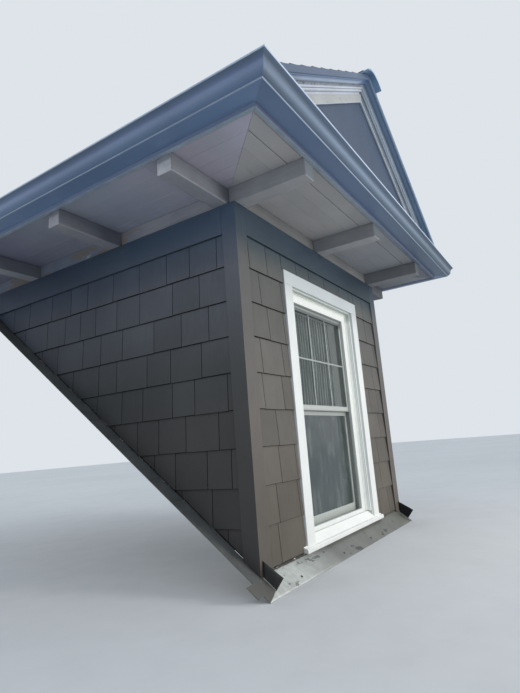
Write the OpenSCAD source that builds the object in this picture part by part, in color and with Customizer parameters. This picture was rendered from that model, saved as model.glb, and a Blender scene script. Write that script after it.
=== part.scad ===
/* [Main sizes] */
// Width of the dormer over its corner boards
body_w = 1950; // [1700:10:2300]
// Rise of the main roof that the dormer stands on, per 12 of run
roof_rise = 9; // [7:0.5:11]
// Rise of the dormer's own gable roof, per 12 of run
gable_rise = 7.5; // [6:0.5:9]
// Height of the soffit's carrying timbers above the seat's origin
lookout_z = 1734; // [1640:2:1900]
// Height of the ridge's top above the seat's origin
ridge_z = 2864; // [2700:1:3000]

/* [Walls] */
// Thickness of studs, sheathing and lining together
wall_t = 110; // [90:1:150]
// Setback of the corner boards' front face from the origin
front_setback = 50; // [40:1:60]
// Thickness of corner boards, frieze and casing
board_t = 19; // [16:1:25]
// Width of a corner board on the front
corner_w = 93; // [80:1:120]
// Height of the frieze board under the soffit
frieze_h = 154; // [120:1:180]
// Exposure of one course of wall shingles
exposure = 178; // [150:1:200]
// Height of the lowest full course's butt line
course_z = 163; // [120:1:200]
// Thickness of a wall shingle at its butt
butt_t = 13; // [8:1:16]

/* [Window] */
// Width over the two side casings
casing_out_w = 1052; // [900:2:1200]
// Width of one side casing
casing_w = 88; // [70:1:110]
// Height of the head casing
head_casing_h = 81; // [70:1:110]
// Height of the casing's top edge
casing_top_z = 1493; // [1400:1:1560]
// Height of the sill's top where the casing stands on it
sill_top_z = 4; // [0:1:40]
// Length of the sill's horn beyond the casing
horn = 36; // [20:1:70]
// Width of one sash stile
stile_w = 30; // [24:1:60]
// Height of the meeting rail
meeting_h = 32; // [24:1:45]

/* [Eaves] */
// Overhang from the corner board to the back of the front fascia
overhang = 395; // [300:5:450]
// How much further the side eaves reach than the front eave
side_reach = 8; // [0:1:30]
// Thickness of the fascia
fascia_t = 22; // [19:1:50]
// Side of a square lookout timber
lookout = 89; // [75:1:100]
// Thickness of the soffit boards
soffit_t = 19; // [12:1:25]
// Width of the gutter at its top
gutter_top_w = 135; // [100:1:150]
// Width of the gutter's flat bottom
gutter_bottom_w = 93; // [60:1:100]
// Height of the gutter
gutter_h = 80; // [70:1:100]

/* [Roof] */
// Thickness of the roofing at a course's butt
roofing_t = 16; // [10:1:24]
// Thickness of the deck boards
deck_t = 25; // [15:1:30]
// Exposure of one course of roofing
roof_exposure = 143; // [120:1:160]
// Reach of the roofing beyond the fascia at the rake
rake_reach = 59; // [30:1:90]

/* [Hidden] */

seat_a = atan(roof_rise / 12);
gable_a = atan(gable_rise / 12);
half_w = body_w / 2;
front_y = -front_setback;
wall_y = front_y + board_t;
wall_x = half_w - board_t;
inner_x = wall_x - wall_t;
inner_y = wall_y + wall_t;
frieze_z = lookout_z - frieze_h;
soffit_z = lookout_z + lookout;
fascia_in_x = half_w + overhang + side_reach;
fascia_in_y = front_y - overhang;
fascia_out_x = fascia_in_x + fascia_t;
fascia_out_y = fascia_in_y - fascia_t;
fascia_z = soffit_z - 9;
fascia_top_z = soffit_z + 113;
gutter_z = soffit_z + 12;
beam_pitch = 790;
beam_y = wall_y + 26;
plate_z = 12;
far = 6000;

// Vertical height of the gable roof's top surface at a distance from the ridge
function roof_top(x) = ridge_z - abs(x) * gable_rise / 12;
// Distance along Y at which the main roof reaches a height
function seat_y(z) = z * 12 / roof_rise;

// Keeps what lies above the plane of the main roof
module above_main_roof(lift = 0) {
    intersection() {
        children();
        rotate([seat_a, 0, 0])
            translate([-far / 2, -far / 2, lift])
                cube([far, far * 1.5, far]);
    }
}

// Extrudes a side profile, drawn as depth and height, across the width
module across(x0, x1) {
    translate([x0, 0, 0])
        rotate([90, 0, 90])
            linear_extrude(x1 - x0)
                children();
}

// Extrudes a front profile, drawn as width and height, from front to back
module along(y0, y1) {
    translate([0, y1, 0])
        rotate([90, 0, 0])
            linear_extrude(y1 - y0)
                children();
}

// A box given by its two corners
module block(a, b) {
    translate(a)
        cube(b - a);
}

// Places a shape on the right slope: x runs down the roof and z stands square to it
module on_right_slope() {
    intersection() {
        translate([0, 0, ridge_z])
            rotate([0, gable_a, 0])
                children();
        block([0, -far / 2, 0], [far / 2, far, far]);
    }
}

module left_of() {
    mirror([1, 0, 0])
        children();
}

// The walls

module bottom_plate() {
    color("burlywood")
        above_main_roof()
            block([-wall_x, wall_y, -far / 10], [wall_x, seat_y(plate_z), plate_z]);
}

opening_x = casing_out_w / 2 - casing_w + 8;
opening_z = casing_top_z - head_casing_h + 10;

module front_wall_right() {
    color("burlywood")
        above_main_roof()
            block([opening_x, wall_y, plate_z], [wall_x, inner_y, lookout_z]);
}

module front_wall_left() {
    left_of()
        front_wall_right();
}

module front_wall_head() {
    color("burlywood")
        block([-opening_x, wall_y, opening_z], [opening_x, inner_y, lookout_z]);
}

module cheek_wall_right() {
    color("burlywood")
        above_main_roof()
            block([inner_x, inner_y, 0], [wall_x, seat_y(lookout_z), lookout_z]);
}

module cheek_wall_left() {
    left_of()
        cheek_wall_right();
}

ceiling_t = 12;

module ceiling() {
    color("whitesmoke")
        above_main_roof()
            block([-inner_x, inner_y, lookout_z - ceiling_t], [inner_x, seat_y(lookout_z), lookout_z]);
}

// Boards and shingles on the walls

flashing_t = 3;

module corner_board_right() {
    color("dimgray")
        above_main_roof(flashing_t) {
            block([half_w - corner_w, front_y, -far / 10], [half_w, wall_y, lookout_z]);
            block([wall_x, front_y, -far / 10], [half_w, front_y + lookout, lookout_z]);
        }
}

module corner_board_left() {
    left_of()
        corner_board_right();
}

courses_below = 1;
courses = 9;
shingle_top_t = 4;

// Lapped courses as depth and height: thick at each butt, thin where the next one covers it
module lapped_profile() {
    z0 = course_z - courses_below * exposure;
    polygon(concat(
        [[0, z0]],
        [for (i = [0:courses - 1], end = [0, 1])
            [end == 0 ? butt_t : shingle_top_t, z0 + (i + end) * exposure]],
        [[0, z0 + courses * exposure]]
    ));
}

// A strip of lapped courses on the front wall
module front_courses(x0, x1, z0) {
    above_main_roof(flashing_t)
        intersection() {
            translate([x0, wall_y, 0])
                rotate([90, 0, 90])
                    linear_extrude(x1 - x0)
                        mirror([1, 0, 0])
                            lapped_profile();
            block([x0, front_y, z0], [x1, wall_y, frieze_z]);
        }
}

module shingles_front() {
    color("dimgray") {
        for (side = [0, 1])
            mirror([side, 0, 0])
                front_courses(casing_out_w / 2, half_w - corner_w, -far / 10);
        front_courses(-casing_out_w / 2, casing_out_w / 2, casing_top_z);
    }
}

cladding_y = front_y + lookout;

module shingles_cheek_right() {
    color("dimgray")
        above_main_roof(flashing_t)
            intersection() {
                translate([wall_x, seat_y(frieze_z), 0])
                    rotate([90, 0, 0])
                        linear_extrude(seat_y(frieze_z) - cladding_y)
                            lapped_profile();
                block([wall_x, cladding_y, -far / 10], [half_w, seat_y(frieze_z), frieze_z]);
            }
}

module shingles_cheek_left() {
    left_of()
        shingles_cheek_right();
}

module frieze_boards() {
    color("dimgray") {
        block([corner_w - half_w, front_y, frieze_z], [half_w - corner_w, wall_y, lookout_z]);
        for (side = [0, 1])
            mirror([side, 0, 0])
                above_main_roof(flashing_t)
                    block([wall_x, cladding_y, frieze_z], [half_w, seat_y(lookout_z), lookout_z]);
    }
}

// The window

casing_in_x = casing_out_w / 2 - casing_w;
casing_in_z = casing_top_z - head_casing_h;
frame_y = front_y + 48;
frame_back_y = 70;
jamb_x = 352;
jamb_top_z = 1345;
jamb_bottom_z = 70;
band_w = 40;
stop_y = frame_y + 20;
pocket = 16;
pocket_bottom_z = 52;
sash_gap = 1;
sash_x = jamb_x + pocket - sash_gap;
sash_top_z = jamb_top_z + pocket - sash_gap;
meeting_z = 708;
sash_t = 24;
upper_y = stop_y + sash_gap;
lower_y = upper_y + sash_t + sash_gap;
glass_t = 4;
top_rail_h = 49;
bottom_rail_h = 58;
lower_top_rail_h = 57;

module casing_right() {
    color("white")
        block([casing_in_x, front_y, sill_top_z], [casing_out_w / 2, wall_y, casing_in_z]);
}

module casing_left() {
    left_of()
        casing_right();
}

module casing_head() {
    color("white")
        block([-casing_out_w / 2, front_y, casing_in_z], [casing_out_w / 2, wall_y, casing_top_z]);
}

// A rectangular opening seen from the front
module opening(x, z0, z1) {
    polygon([[-x, z0], [x, z0], [x, z1], [-x, z1]]);
}

// Ring between two openings, from front to back
module ring(y0, y1, outer, inner) {
    along(y0, y1)
        difference() {
            opening(outer[0], outer[1], outer[2]);
            opening(inner[0], inner[1], inner[2]);
        }
}

rib_pitch = 11;
rib_w = 6;
rib_h = 6;
strip_w = 12;

// Lines the way back from the casing to the frame: three ribs, a front strip and a groove
module reveal_trim() {
    outer = [opening_x, sill_back_z, opening_z];
    color("white") {
        ring(wall_y, frame_y + 6, outer, [casing_in_x, -1, casing_in_z]);
        for (i = [0:2])
            ring(wall_y + i * rib_pitch, wall_y + rib_w + i * rib_pitch, outer,
                 [casing_in_x - rib_h, -1, casing_in_z - rib_h]);
        ring(frame_y, frame_y + 6, outer, [casing_in_x - strip_w, -1, casing_in_z - strip_w]);
    }
}

module window_frame() {
    color("white")
        above_main_roof() {
            ring(frame_y, frame_y + 8, [jamb_x + band_w, sill_back_z, jamb_top_z + band_w],
                 [jamb_x, jamb_bottom_z, jamb_top_z]);
            ring(frame_y + 6, stop_y, [opening_x, plate_z, opening_z], [jamb_x, jamb_bottom_z, jamb_top_z]);
            ring(stop_y, frame_back_y, [opening_x, plate_z, opening_z],
                 [jamb_x + pocket, pocket_bottom_z, jamb_top_z + pocket]);
        }
}

module sash(y, z0, z1, bottom_rail, top_rail) {
    color("white")
        ring(y, y + sash_t, [sash_x, z0, z1], [sash_x - stile_w, z0 + bottom_rail, z1 - top_rail]);
}

module pane(y, z0, z1, bottom_rail, top_rail) {
    color("lightsteelblue")
        along(y + 7, y + 7 + glass_t)
            opening(sash_x - stile_w, z0 + bottom_rail, z1 - top_rail);
}

module upper_sash() {
    sash(upper_y, meeting_z, sash_top_z, meeting_h, top_rail_h);
}

module lower_sash() {
    sash(lower_y, pocket_bottom_z, meeting_z + meeting_h - 2, bottom_rail_h, lower_top_rail_h);
}

module window_glass() {
    pane(upper_y, meeting_z, sash_top_z, meeting_h, top_rail_h);
    pane(lower_y, pocket_bottom_z, meeting_z + meeting_h - 2, bottom_rail_h, lower_top_rail_h);
}

nose_y = front_y - 18;
nose_r = 9;
nose_h = 24;
sill_back_z = 46;
sill_x = casing_out_w / 2 + horn;
sill_slope = (sill_back_z - sill_top_z) / (frame_y + 4 - front_y);

// Side profile of the sill: a rounded nose and a top that falls towards it
module sill_profile(y_back) {
    hull_top = sill_top_z - 2;
    polygon([
        [nose_y, hull_top - nose_h], [nose_y, hull_top - nose_r], [nose_y + nose_r, hull_top],
        [front_y, sill_top_z], [y_back, sill_top_z + sill_slope * (y_back - front_y)],
        [y_back, y_back > wall_y ? plate_z : hull_top - nose_h + 6], [wall_y, plate_z],
        [wall_y, hull_top - nose_h + 6]
    ]);
    translate([nose_y + nose_r, hull_top - nose_r])
        circle(r = nose_r);
}

module window_sill() {
    color("white") {
        across(-sill_x, sill_x)
            intersection() {
                sill_profile(frame_y);
                translate([nose_y - 1, -far / 2])
                    square([wall_y - nose_y + 1, far]);
            }
        across(-opening_x, opening_x)
            sill_profile(frame_y);
    }
}

// The curtain behind the glass

curtain_y = inner_y + 24;
curtain_top_z = 1334;
curtain_bottom_z = 690;
rod_r = 6;
rod_x = opening_x + 30;

module curtain_rod() {
    color("white") {
        translate([-rod_x, curtain_y, curtain_top_z + rod_r])
            rotate([0, 90, 0])
                cylinder(r = rod_r, h = 2 * rod_x, $fn = 24);
        for (side = [-1, 1])
            translate([side * (rod_x - 6), 0, 0])
                block([-6, inner_y, curtain_top_z - 2], [6, curtain_y + 2, curtain_top_z + 2 * rod_r + 2]);
    }
}

fold_pitch = 46;
fold_depth = 11;
cloth_t = 2;
curtain_x = 336;

// Centre line of the gathered cloth in plan
function fold_y(x) = fold_depth * sin(360 * x / fold_pitch) * (1 + 0.25 * sin(97 * x / fold_pitch));
fold_xs = [for (x = [-curtain_x:fold_pitch / 8:curtain_x]) x];

module curtain() {
    color("whitesmoke")
        translate([0, curtain_y, curtain_bottom_z])
            linear_extrude(curtain_top_z - curtain_bottom_z)
                polygon(concat(
                    [for (x = fold_xs) [x, fold_y(x) - cloth_t / 2]],
                    [for (i = [len(fold_xs) - 1:-1:0]) [fold_xs[i], fold_y(fold_xs[i]) + cloth_t / 2]]
                ));
}

// The eaves

module cross_beams() {
    color("gray")
        for (i = [0:2])
            above_main_roof()
                block([-fascia_in_x, beam_y + i * beam_pitch, lookout_z],
                      [fascia_in_x, beam_y + lookout + i * beam_pitch, soffit_z]);
}

lookout_x = wall_x - lookout / 2;

module front_lookouts() {
    color("gray")
        for (x = [-lookout_x, 0, lookout_x])
            block([x - lookout / 2, fascia_in_y, lookout_z], [x + lookout / 2, beam_y, soffit_z]);
}

module bed_boards() {
    color("rosybrown") {
        for (side = [-1, 1])
            translate([side * lookout_x / 2, 0, 0])
                block([lookout / 2 - lookout_x / 2, wall_y, lookout_z],
                      [lookout_x / 2 - lookout / 2, beam_y, soffit_z]);
        for (side = [0, 1], i = [0:2])
            mirror([side, 0, 0])
                above_main_roof()
                    block([wall_x - 26, beam_y + lookout + i * beam_pitch, lookout_z],
                          [wall_x, beam_y + (i + 1) * beam_pitch, soffit_z]);
    }
}

// Plan of the front eave between its two mitres
module front_mitre(x_in, y_in, reach) {
    polygon([[-x_in, y_in], [x_in, y_in], [x_in + reach, y_in - reach], [-x_in - reach, y_in - reach]]);
}

soffit_in_y = beam_y;
soffit_in_x = fascia_in_x + fascia_in_y - soffit_in_y;

module soffit_front() {
    color("gray")
        translate([0, 0, soffit_z])
            linear_extrude(soffit_t)
                front_mitre(soffit_in_x, soffit_in_y, fascia_in_x - soffit_in_x);
}

module soffit_sides() {
    reach = fascia_in_x - soffit_in_x;
    back = seat_y(soffit_z + soffit_t);
    color("gray")
        for (side = [0, 1])
            mirror([side, 0, 0])
                above_main_roof()
                    translate([0, 0, soffit_z])
                        linear_extrude(soffit_t)
                            polygon([
                                [soffit_in_x, soffit_in_y], [fascia_in_x, soffit_in_y - reach],
                                [fascia_in_x, back], [soffit_in_x, back]
                            ]);
}

module fascia_front() {
    color("slategray")
        translate([0, 0, fascia_z])
            linear_extrude(fascia_top_z - fascia_z)
                front_mitre(fascia_in_x, fascia_in_y, fascia_t);
}

module fascia_sides() {
    back = seat_y(fascia_top_z);
    color("slategray")
        for (side = [0, 1])
            mirror([side, 0, 0])
                above_main_roof()
                    translate([0, 0, fascia_z])
                        linear_extrude(fascia_top_z - fascia_z)
                            polygon([
                                [fascia_in_x, fascia_in_y], [fascia_out_x, fascia_out_y],
                                [fascia_out_x, back], [fascia_in_x, back]
                            ]);
}

gutter_t = 3;
quirk_h = 4;
lip_h = 8;
face_steps = 12;

// The moulded front of the gutter: a quirk, an ogee that stands upright at its middle, and a lip
function gutter_face(shift) = concat(
    [[gutter_bottom_w - shift, 0]],
    [for (i = [0:face_steps])
        let (s = i / face_steps)
        [gutter_bottom_w - shift + (gutter_top_w - gutter_bottom_w) * (s + sin(360 * s) / 7),
         quirk_h + (gutter_h - quirk_h - lip_h) * s]],
    [[gutter_top_w - shift, gutter_h]]
);

// Section of the gutter as reach from the fascia and height
module gutter_section() {
    difference() {
        polygon(concat([[0, gutter_h], [0, 0]], gutter_face(0)));
        translate([0, gutter_t])
            polygon(concat([[gutter_t, gutter_h], [gutter_t, 0]], gutter_face(gutter_t)));
    }
}

module gutter_front() {
    color("slategray")
        intersection() {
            translate([-fascia_out_x - gutter_top_w, fascia_out_y, gutter_z])
                rotate([90, 0, 90])
                    linear_extrude(2 * (fascia_out_x + gutter_top_w))
                        mirror([1, 0, 0])
                            gutter_section();
            translate([0, 0, gutter_z - 1])
                linear_extrude(gutter_h + 2)
                    front_mitre(fascia_out_x, fascia_out_y, gutter_top_w);
        }
}

gutter_end_y = seat_y(gutter_z) - 60;

module gutter_right() {
    color("slategray") {
        intersection() {
            translate([fascia_out_x, gutter_end_y, gutter_z])
                rotate([90, 0, 0])
                    linear_extrude(gutter_end_y - fascia_out_y + gutter_top_w)
                        gutter_section();
            translate([0, 0, gutter_z - 1])
                linear_extrude(gutter_h + 2)
                    polygon([
                        [fascia_out_x, fascia_out_y],
                        [fascia_out_x + gutter_top_w, fascia_out_y - gutter_top_w],
                        [fascia_out_x + gutter_top_w, gutter_end_y], [fascia_out_x, gutter_end_y]
                    ]);
        }
        translate([fascia_out_x, gutter_end_y, gutter_z])
            rotate([90, 0, 0])
                linear_extrude(gutter_t)
                    polygon(concat([[0, gutter_h], [0, 0]], gutter_face(0)));
    }
}

module gutter_left() {
    left_of()
        gutter_right();
}

// The pediment and the roof

tympanum_y = fascia_out_y + 27;
frieze_face_y = tympanum_y - 18;
rake_y = fascia_out_y - rake_reach;
slope_len = (fascia_out_x + 27) / cos(gable_a);
roof_back_y = seat_y(ridge_z) + 60;
crown_top = roofing_t + deck_t;
crown_h = 10;
crown_fillet = 3;
rake_soffit = 14;
bed_cove_h = 11;
bed_h = 32;
rake_frieze_h = 60;
attic_z = soffit_z + soffit_t;

module tympanum() {
    color("slategray")
        along(tympanum_y, tympanum_y + board_t)
            polygon([
                [-fascia_in_x, attic_z], [fascia_in_x, attic_z],
                [fascia_in_x, roof_top(fascia_in_x) - crown_top / cos(gable_a)],
                [0, ridge_z - crown_top / cos(gable_a)],
                [-fascia_in_x, roof_top(fascia_in_x) - crown_top / cos(gable_a)]
            ]);
}

// Runs a section, drawn as depth and drop below the roof's top, up the right rake from the gutter
module up_right_rake() {
    intersection() {
        on_right_slope()
            translate([-200, 0, 0])
                rotate([90, 0, 90])
                    linear_extrude(slope_len + 200)
                        children();
        block([0, -far / 2, fascia_top_z], [fascia_out_x + 20, 0, far]);
    }
}

bed_y = frieze_face_y - 15;
bed_top = crown_top + crown_h + bed_cove_h;
bed_fillet = 10;
quirk = 4;
bead_r = 7;

// Frieze board with its bed moulding: a fillet, a quirk, a cove and a second quirk over the board
module rake_frieze_right() {
    bed_bottom = bed_top + bed_h - quirk;
    cove_top = bed_top + bed_fillet + quirk;
    cove_h = bed_bottom - quirk - cove_top;
    color("lightgray")
        up_right_rake()
            polygon(concat(
                [[tympanum_y, -crown_top], [bed_y, -crown_top], [bed_y, -bed_top - bed_fillet],
                 [bed_y + bead_r + 2, -bed_top - bed_fillet], [bed_y + bead_r + 2, -cove_top]],
                [for (i = [0:5])
                    [bed_y + 3 + 8 * (1 - cos(18 * i)), -cove_top - cove_h * sin(18 * i)]],
                [[frieze_face_y + bead_r, -bed_bottom + quirk], [frieze_face_y + bead_r, -bed_bottom],
                 [frieze_face_y, -bed_bottom], [frieze_face_y, -bed_bottom - rake_frieze_h],
                 [tympanum_y, -bed_bottom - rake_frieze_h]]
            ));
}

module rake_frieze_left() {
    left_of()
        rake_frieze_right();
}

crown_out = rake_y + 1;
crown_in = bed_y - rake_soffit;

// Crown moulding: a broad shallow ogee under the roof's edge, then a small cove down to the bed moulding
module rake_crown_right() {
    crown_low = crown_top + crown_h;
    color("slategray")
        up_right_rake()
            polygon(concat(
                [[bed_y, -crown_top], [crown_out, -crown_top]],
                [for (i = [0:face_steps])
                    let (s = i / face_steps)
                    [crown_out + (crown_in - crown_out) * s,
                     -crown_top - crown_fillet - (crown_h - crown_fillet) * (s - sin(360 * s) / 9)]],
                [for (i = [1:5])
                    [crown_in + (bed_y - crown_in) * sin(18 * i), -crown_low - bed_cove_h * (1 - cos(18 * i))]]
            ));
}

module rake_crown_left() {
    left_of()
        rake_crown_right();
}

module roof_deck_right() {
    color("peru")
        above_main_roof()
            on_right_slope()
                block([-200, rake_y + 7, -roofing_t - deck_t], [slope_len - 12, roof_back_y, -roofing_t]);
}

module roof_deck_left() {
    left_of()
        roof_deck_right();
}

roof_courses = ceil(slope_len / roof_exposure);
course_drop = 10;

// Lapped roofing courses seen from the gable: each butt stands over the course below
module roofing_profile() {
    polygon(concat(
        [[slope_len, -roofing_t]],
        [for (i = [0:roof_courses - 1], end = [0, 1])
            [slope_len - (i + end) * roof_exposure, end == 0 ? 0 : -course_drop]],
        [[slope_len - roof_courses * roof_exposure, -roofing_t]]
    ));
}

module roofing_right() {
    color("darkslategray")
        above_main_roof()
            on_right_slope()
                translate([0, roof_back_y, 0])
                    rotate([90, 0, 0])
                        linear_extrude(roof_back_y - rake_y)
                            roofing_profile();
}

module roofing_left() {
    left_of()
        roofing_right();
}

cap_leg = 141;
cap_t = 8;
cap_tilt = 1.2;
cap_front_y = rake_y - 38;
cap_count = ceil((seat_y(ridge_z) - cap_front_y) / roof_exposure);

// An inverted V seen from the gable
module cap_profile(t) {
    dx = cap_leg * cos(gable_a);
    dz = cap_leg * sin(gable_a);
    polygon([[0, 0], [dx, -dz], [dx, t - dz], [0, t], [-dx, t - dz], [-dx, -dz]]);
}

module ridge_cap() {
    color("darkslategray")
        above_main_roof() {
            for (i = [0:cap_count])
                translate([0, cap_front_y + i * roof_exposure, ridge_z + 3])
                    rotate([-cap_tilt, 0, 0])
                        rotate([90, 0, 180])
                            linear_extrude(roof_exposure + 20)
                                cap_profile(cap_t);
            along(cap_front_y - 2, cap_front_y + 10)
                translate([0, ridge_z - 6])
                    cap_profile(14);
        }
}

ridge_board_h = 184;
rafter_h = 140;
rafter_t = 38;
rafter_pitch = 610;
under_deck = crown_top / cos(gable_a);

module ridge_board() {
    color("burlywood")
        above_main_roof()
            block([-rafter_t / 2, tympanum_y + board_t, ridge_z - under_deck - ridge_board_h - 12],
                  [rafter_t / 2, roof_back_y, ridge_z - under_deck - 12]);
}

rafter_count = 6;

module rafters() {
    y0 = tympanum_y + board_t;
    color("burlywood")
        for (side = [0, 1], i = [0:rafter_count - 1])
            mirror([side, 0, 0])
                above_main_roof()
                    intersection() {
                        on_right_slope()
                            block([0, y0 + i * rafter_pitch, -crown_top - rafter_h],
                                  [slope_len, y0 + rafter_t + i * rafter_pitch, -crown_top]);
                        block([rafter_t / 2, -far / 2, attic_z], [fascia_in_x, far, far]);
                    }
}

// The flashings at the foot

// Edges of the flashings, measured down the main roof's slope from the origin
apron_run = -172;
flap_run = -135;
plate_run = -66;
apron_tip_x = half_w + 77;

module apron_flashing() {
    back = wall_y / cos(seat_a);
    color("silver")
        rotate([seat_a, 0, 0])
            linear_extrude(flashing_t)
                polygon([
                    [-apron_tip_x, apron_run], [-wall_x, flap_run], [-wall_x, back],
                    [wall_x - 10, back], [wall_x - 10, apron_run]
                ]);
}

module corner_flashings() {
    color("black")
        for (side = [0, 1])
            mirror([side, 0, 0])
                above_main_roof(flashing_t)
                    across(wall_x - flashing_t, wall_x)
                        polygon([[front_y, 36], [front_y - 106, -28], [front_y - 58, -90], [front_y, -50]]);
}

step_leg = 70;
plate_leg = 119;

// Strips beside both cheeks, and a wider plate that ends the left one beside its corner flap
module step_flashings() {
    plate_x = half_w + plate_leg;
    color("dimgray")
        rotate([seat_a, 0, 0]) {
            for (side = [0, 1])
                mirror([side, 0, 0])
                    block([wall_x, plate_run, 0],
                          [half_w + step_leg, seat_y(lookout_z) / cos(seat_a), flashing_t]);
            linear_extrude(flashing_t)
                polygon([
                    [-wall_x, plate_run], [-wall_x, flap_run], [-apron_tip_x, apron_run],
                    [-apron_tip_x, flap_run], [-plate_x, flap_run], [-plate_x, plate_run]
                ]);
        }
}

bottom_plate();
front_wall_left();
front_wall_right();
front_wall_head();
cheek_wall_left();
cheek_wall_right();
ceiling();
corner_board_left();
corner_board_right();
shingles_front();
shingles_cheek_left();
shingles_cheek_right();
frieze_boards();
window_frame();
casing_left();
casing_right();
casing_head();
reveal_trim();
window_sill();
upper_sash();
lower_sash();
window_glass();
curtain();
curtain_rod();
cross_beams();
front_lookouts();
bed_boards();
soffit_front();
soffit_sides();
fascia_front();
fascia_sides();
gutter_front();
gutter_left();
gutter_right();
tympanum();
rake_frieze_left();
rake_frieze_right();
rake_crown_left();
rake_crown_right();
roof_deck_left();
roof_deck_right();
roofing_left();
roofing_right();
ridge_cap();
ridge_board();
rafters();
apron_flashing();
corner_flashings();
step_flashings();
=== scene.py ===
# %% [markdown]
# # A gable dormer, dressed from its solid model
# The solids come in as a fixed frame. Each one either keeps its shape and gets a real finish, or is replaced by a
# finer piece that stands in the same place: lapped shingles, boards with grooves, smooth gutters, creased metal.
# Everything is in metres, with the front wall facing -Y and Z upwards.

# %% Load the frame
import math
import bmesh
import bpy
from mathutils import Matrix, Vector, noise


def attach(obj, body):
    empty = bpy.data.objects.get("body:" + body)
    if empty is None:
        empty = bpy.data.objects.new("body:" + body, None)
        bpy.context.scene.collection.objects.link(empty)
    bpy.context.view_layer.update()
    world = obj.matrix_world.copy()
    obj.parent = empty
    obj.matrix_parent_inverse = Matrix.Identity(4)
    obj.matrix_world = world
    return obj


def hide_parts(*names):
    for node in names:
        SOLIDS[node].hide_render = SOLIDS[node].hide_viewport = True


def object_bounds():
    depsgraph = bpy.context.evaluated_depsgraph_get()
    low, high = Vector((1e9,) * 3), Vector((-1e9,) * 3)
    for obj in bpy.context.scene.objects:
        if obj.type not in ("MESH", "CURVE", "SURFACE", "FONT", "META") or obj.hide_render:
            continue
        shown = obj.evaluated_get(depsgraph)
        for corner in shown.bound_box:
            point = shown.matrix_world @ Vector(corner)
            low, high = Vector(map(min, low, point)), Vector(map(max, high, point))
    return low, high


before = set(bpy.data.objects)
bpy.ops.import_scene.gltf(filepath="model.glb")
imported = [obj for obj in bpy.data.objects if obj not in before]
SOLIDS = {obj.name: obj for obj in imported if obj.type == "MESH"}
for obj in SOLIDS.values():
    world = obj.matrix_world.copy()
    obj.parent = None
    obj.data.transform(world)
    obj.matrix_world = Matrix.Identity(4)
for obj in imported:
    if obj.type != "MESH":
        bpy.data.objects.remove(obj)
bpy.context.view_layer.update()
scene = bpy.context.scene
print("solids loaded:", len(SOLIDS))

# %% [markdown]
# ## Camera
# The photograph was taken from close by, low at the dormer's front left, with a wide lens. The place and the lens
# were solved from straight lines on the object, so the picture's vanishing points agree with the real ones.

# %% Camera
lens = bpy.data.cameras.new("wide_lens")
lens.lens = 25.643
lens.sensor_width = 36.0
lens.clip_start = 0.05
lens.clip_end = 200.0
camera = bpy.data.objects.new("camera", lens)
camera.location = (-2.863, -1.319, 0.5255)
camera.rotation_euler = [math.radians(a) for a in (101.35433, 4.35749, -57.04695)]
scene.collection.objects.link(camera)
scene.camera = camera
print("camera at", tuple(camera.location))

# %% [markdown]
# ## Node helpers
# A material and a Geometry Nodes group are both trees of nodes. One small helper makes a node, sets its options and
# either links a socket or gives it a number, so that each tree below reads as a list of steps.

# %% One helper for every node
def add(tree, kind, inputs=None, **options):
    made = tree.nodes.new(kind)
    for key, value in options.items():
        setattr(made, key, value)
    for key, value in (inputs or {}).items():
        if isinstance(value, bpy.types.NodeSocket):
            tree.links.new(value, made.inputs[key])
        else:
            made.inputs[key].default_value = value
    return made


def colour(red, green, blue):
    """A colour as seen on a screen, 0 to 255, in the linear numbers that shaders use."""
    def linear(value):
        value = value / 255
        return value / 12.92 if value <= 0.04045 else ((value + 0.055) / 1.055) ** 2.4
    return (linear(red), linear(green), linear(blue), 1.0)


def arithmetic(tree, operation, first, second=0.0):
    return add(tree, "ShaderNodeMath", {0: first, 1: second}, operation=operation).outputs[0]


def between(tree, value, low, high, out_low=0.0, out_high=1.0):
    made = add(tree, "ShaderNodeMapRange", {"Value": value, "From Min": low, "From Max": high,
                                            "To Min": out_low, "To Max": out_high})
    return made.outputs["Result"]


# %% [markdown]
# ## Finishes
# Paint on wood is never one colour. `finish` builds each surface from three layers: broad patches and fine grain that
# choose between a few tones, flaking that shows an older colour through crisp-edged holes, and a relief that follows
# both. `casts` tint a finish by height or by place, and most of them are painted light and shade: darker under the
# deep eaves, in recesses and towards the back, paler where the light falls. All of it reads Object coordinates, so
# the grain keeps its true size.

# %% Patches, ramps and blends
LONG_X, LONG_Y, LONG_Z = (0.06, 1, 1), (1, 0.06, 1), (1, 1, 0.06)
EVEN = (1, 1, 1)


def patches(tree, where, scale, detail=5.0, rough=0.6, offset=(0, 0, 0), stretch=EVEN):
    place = add(tree, "ShaderNodeMapping", {"Vector": where, "Location": offset, "Scale": stretch})
    made = add(tree, "ShaderNodeTexNoise", {"Vector": place.outputs[0], "Scale": scale, "Detail": detail,
                                            "Roughness": rough})
    return made.outputs["Factor" if "Factor" in made.outputs else "Fac"]


def stepped(tree, value, stops):
    """A Color Ramp from stops (position, tone)."""
    made = add(tree, "ShaderNodeValToRGB", {0: value})
    points = made.color_ramp.elements
    for i, (at, tone) in enumerate(stops):
        point = points[i] if i < 2 else points.new(at)
        point.position = at
        point.color = colour(*tone)
    return made.outputs["Color"]


def ramp(tree, value, tones, low=0.3, high=0.7):
    last = max(1, len(tones) - 1)
    return stepped(tree, value, [(low + (high - low) * i / last, tone) for i, tone in enumerate(tones)])


def blend_colours(tree, share, first, second, mode="MIX"):
    made = add(tree, "ShaderNodeMix", {"Factor": share, 6: first, 7: second}, data_type="RGBA", blend_type=mode)
    return made.outputs[2]


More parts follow.
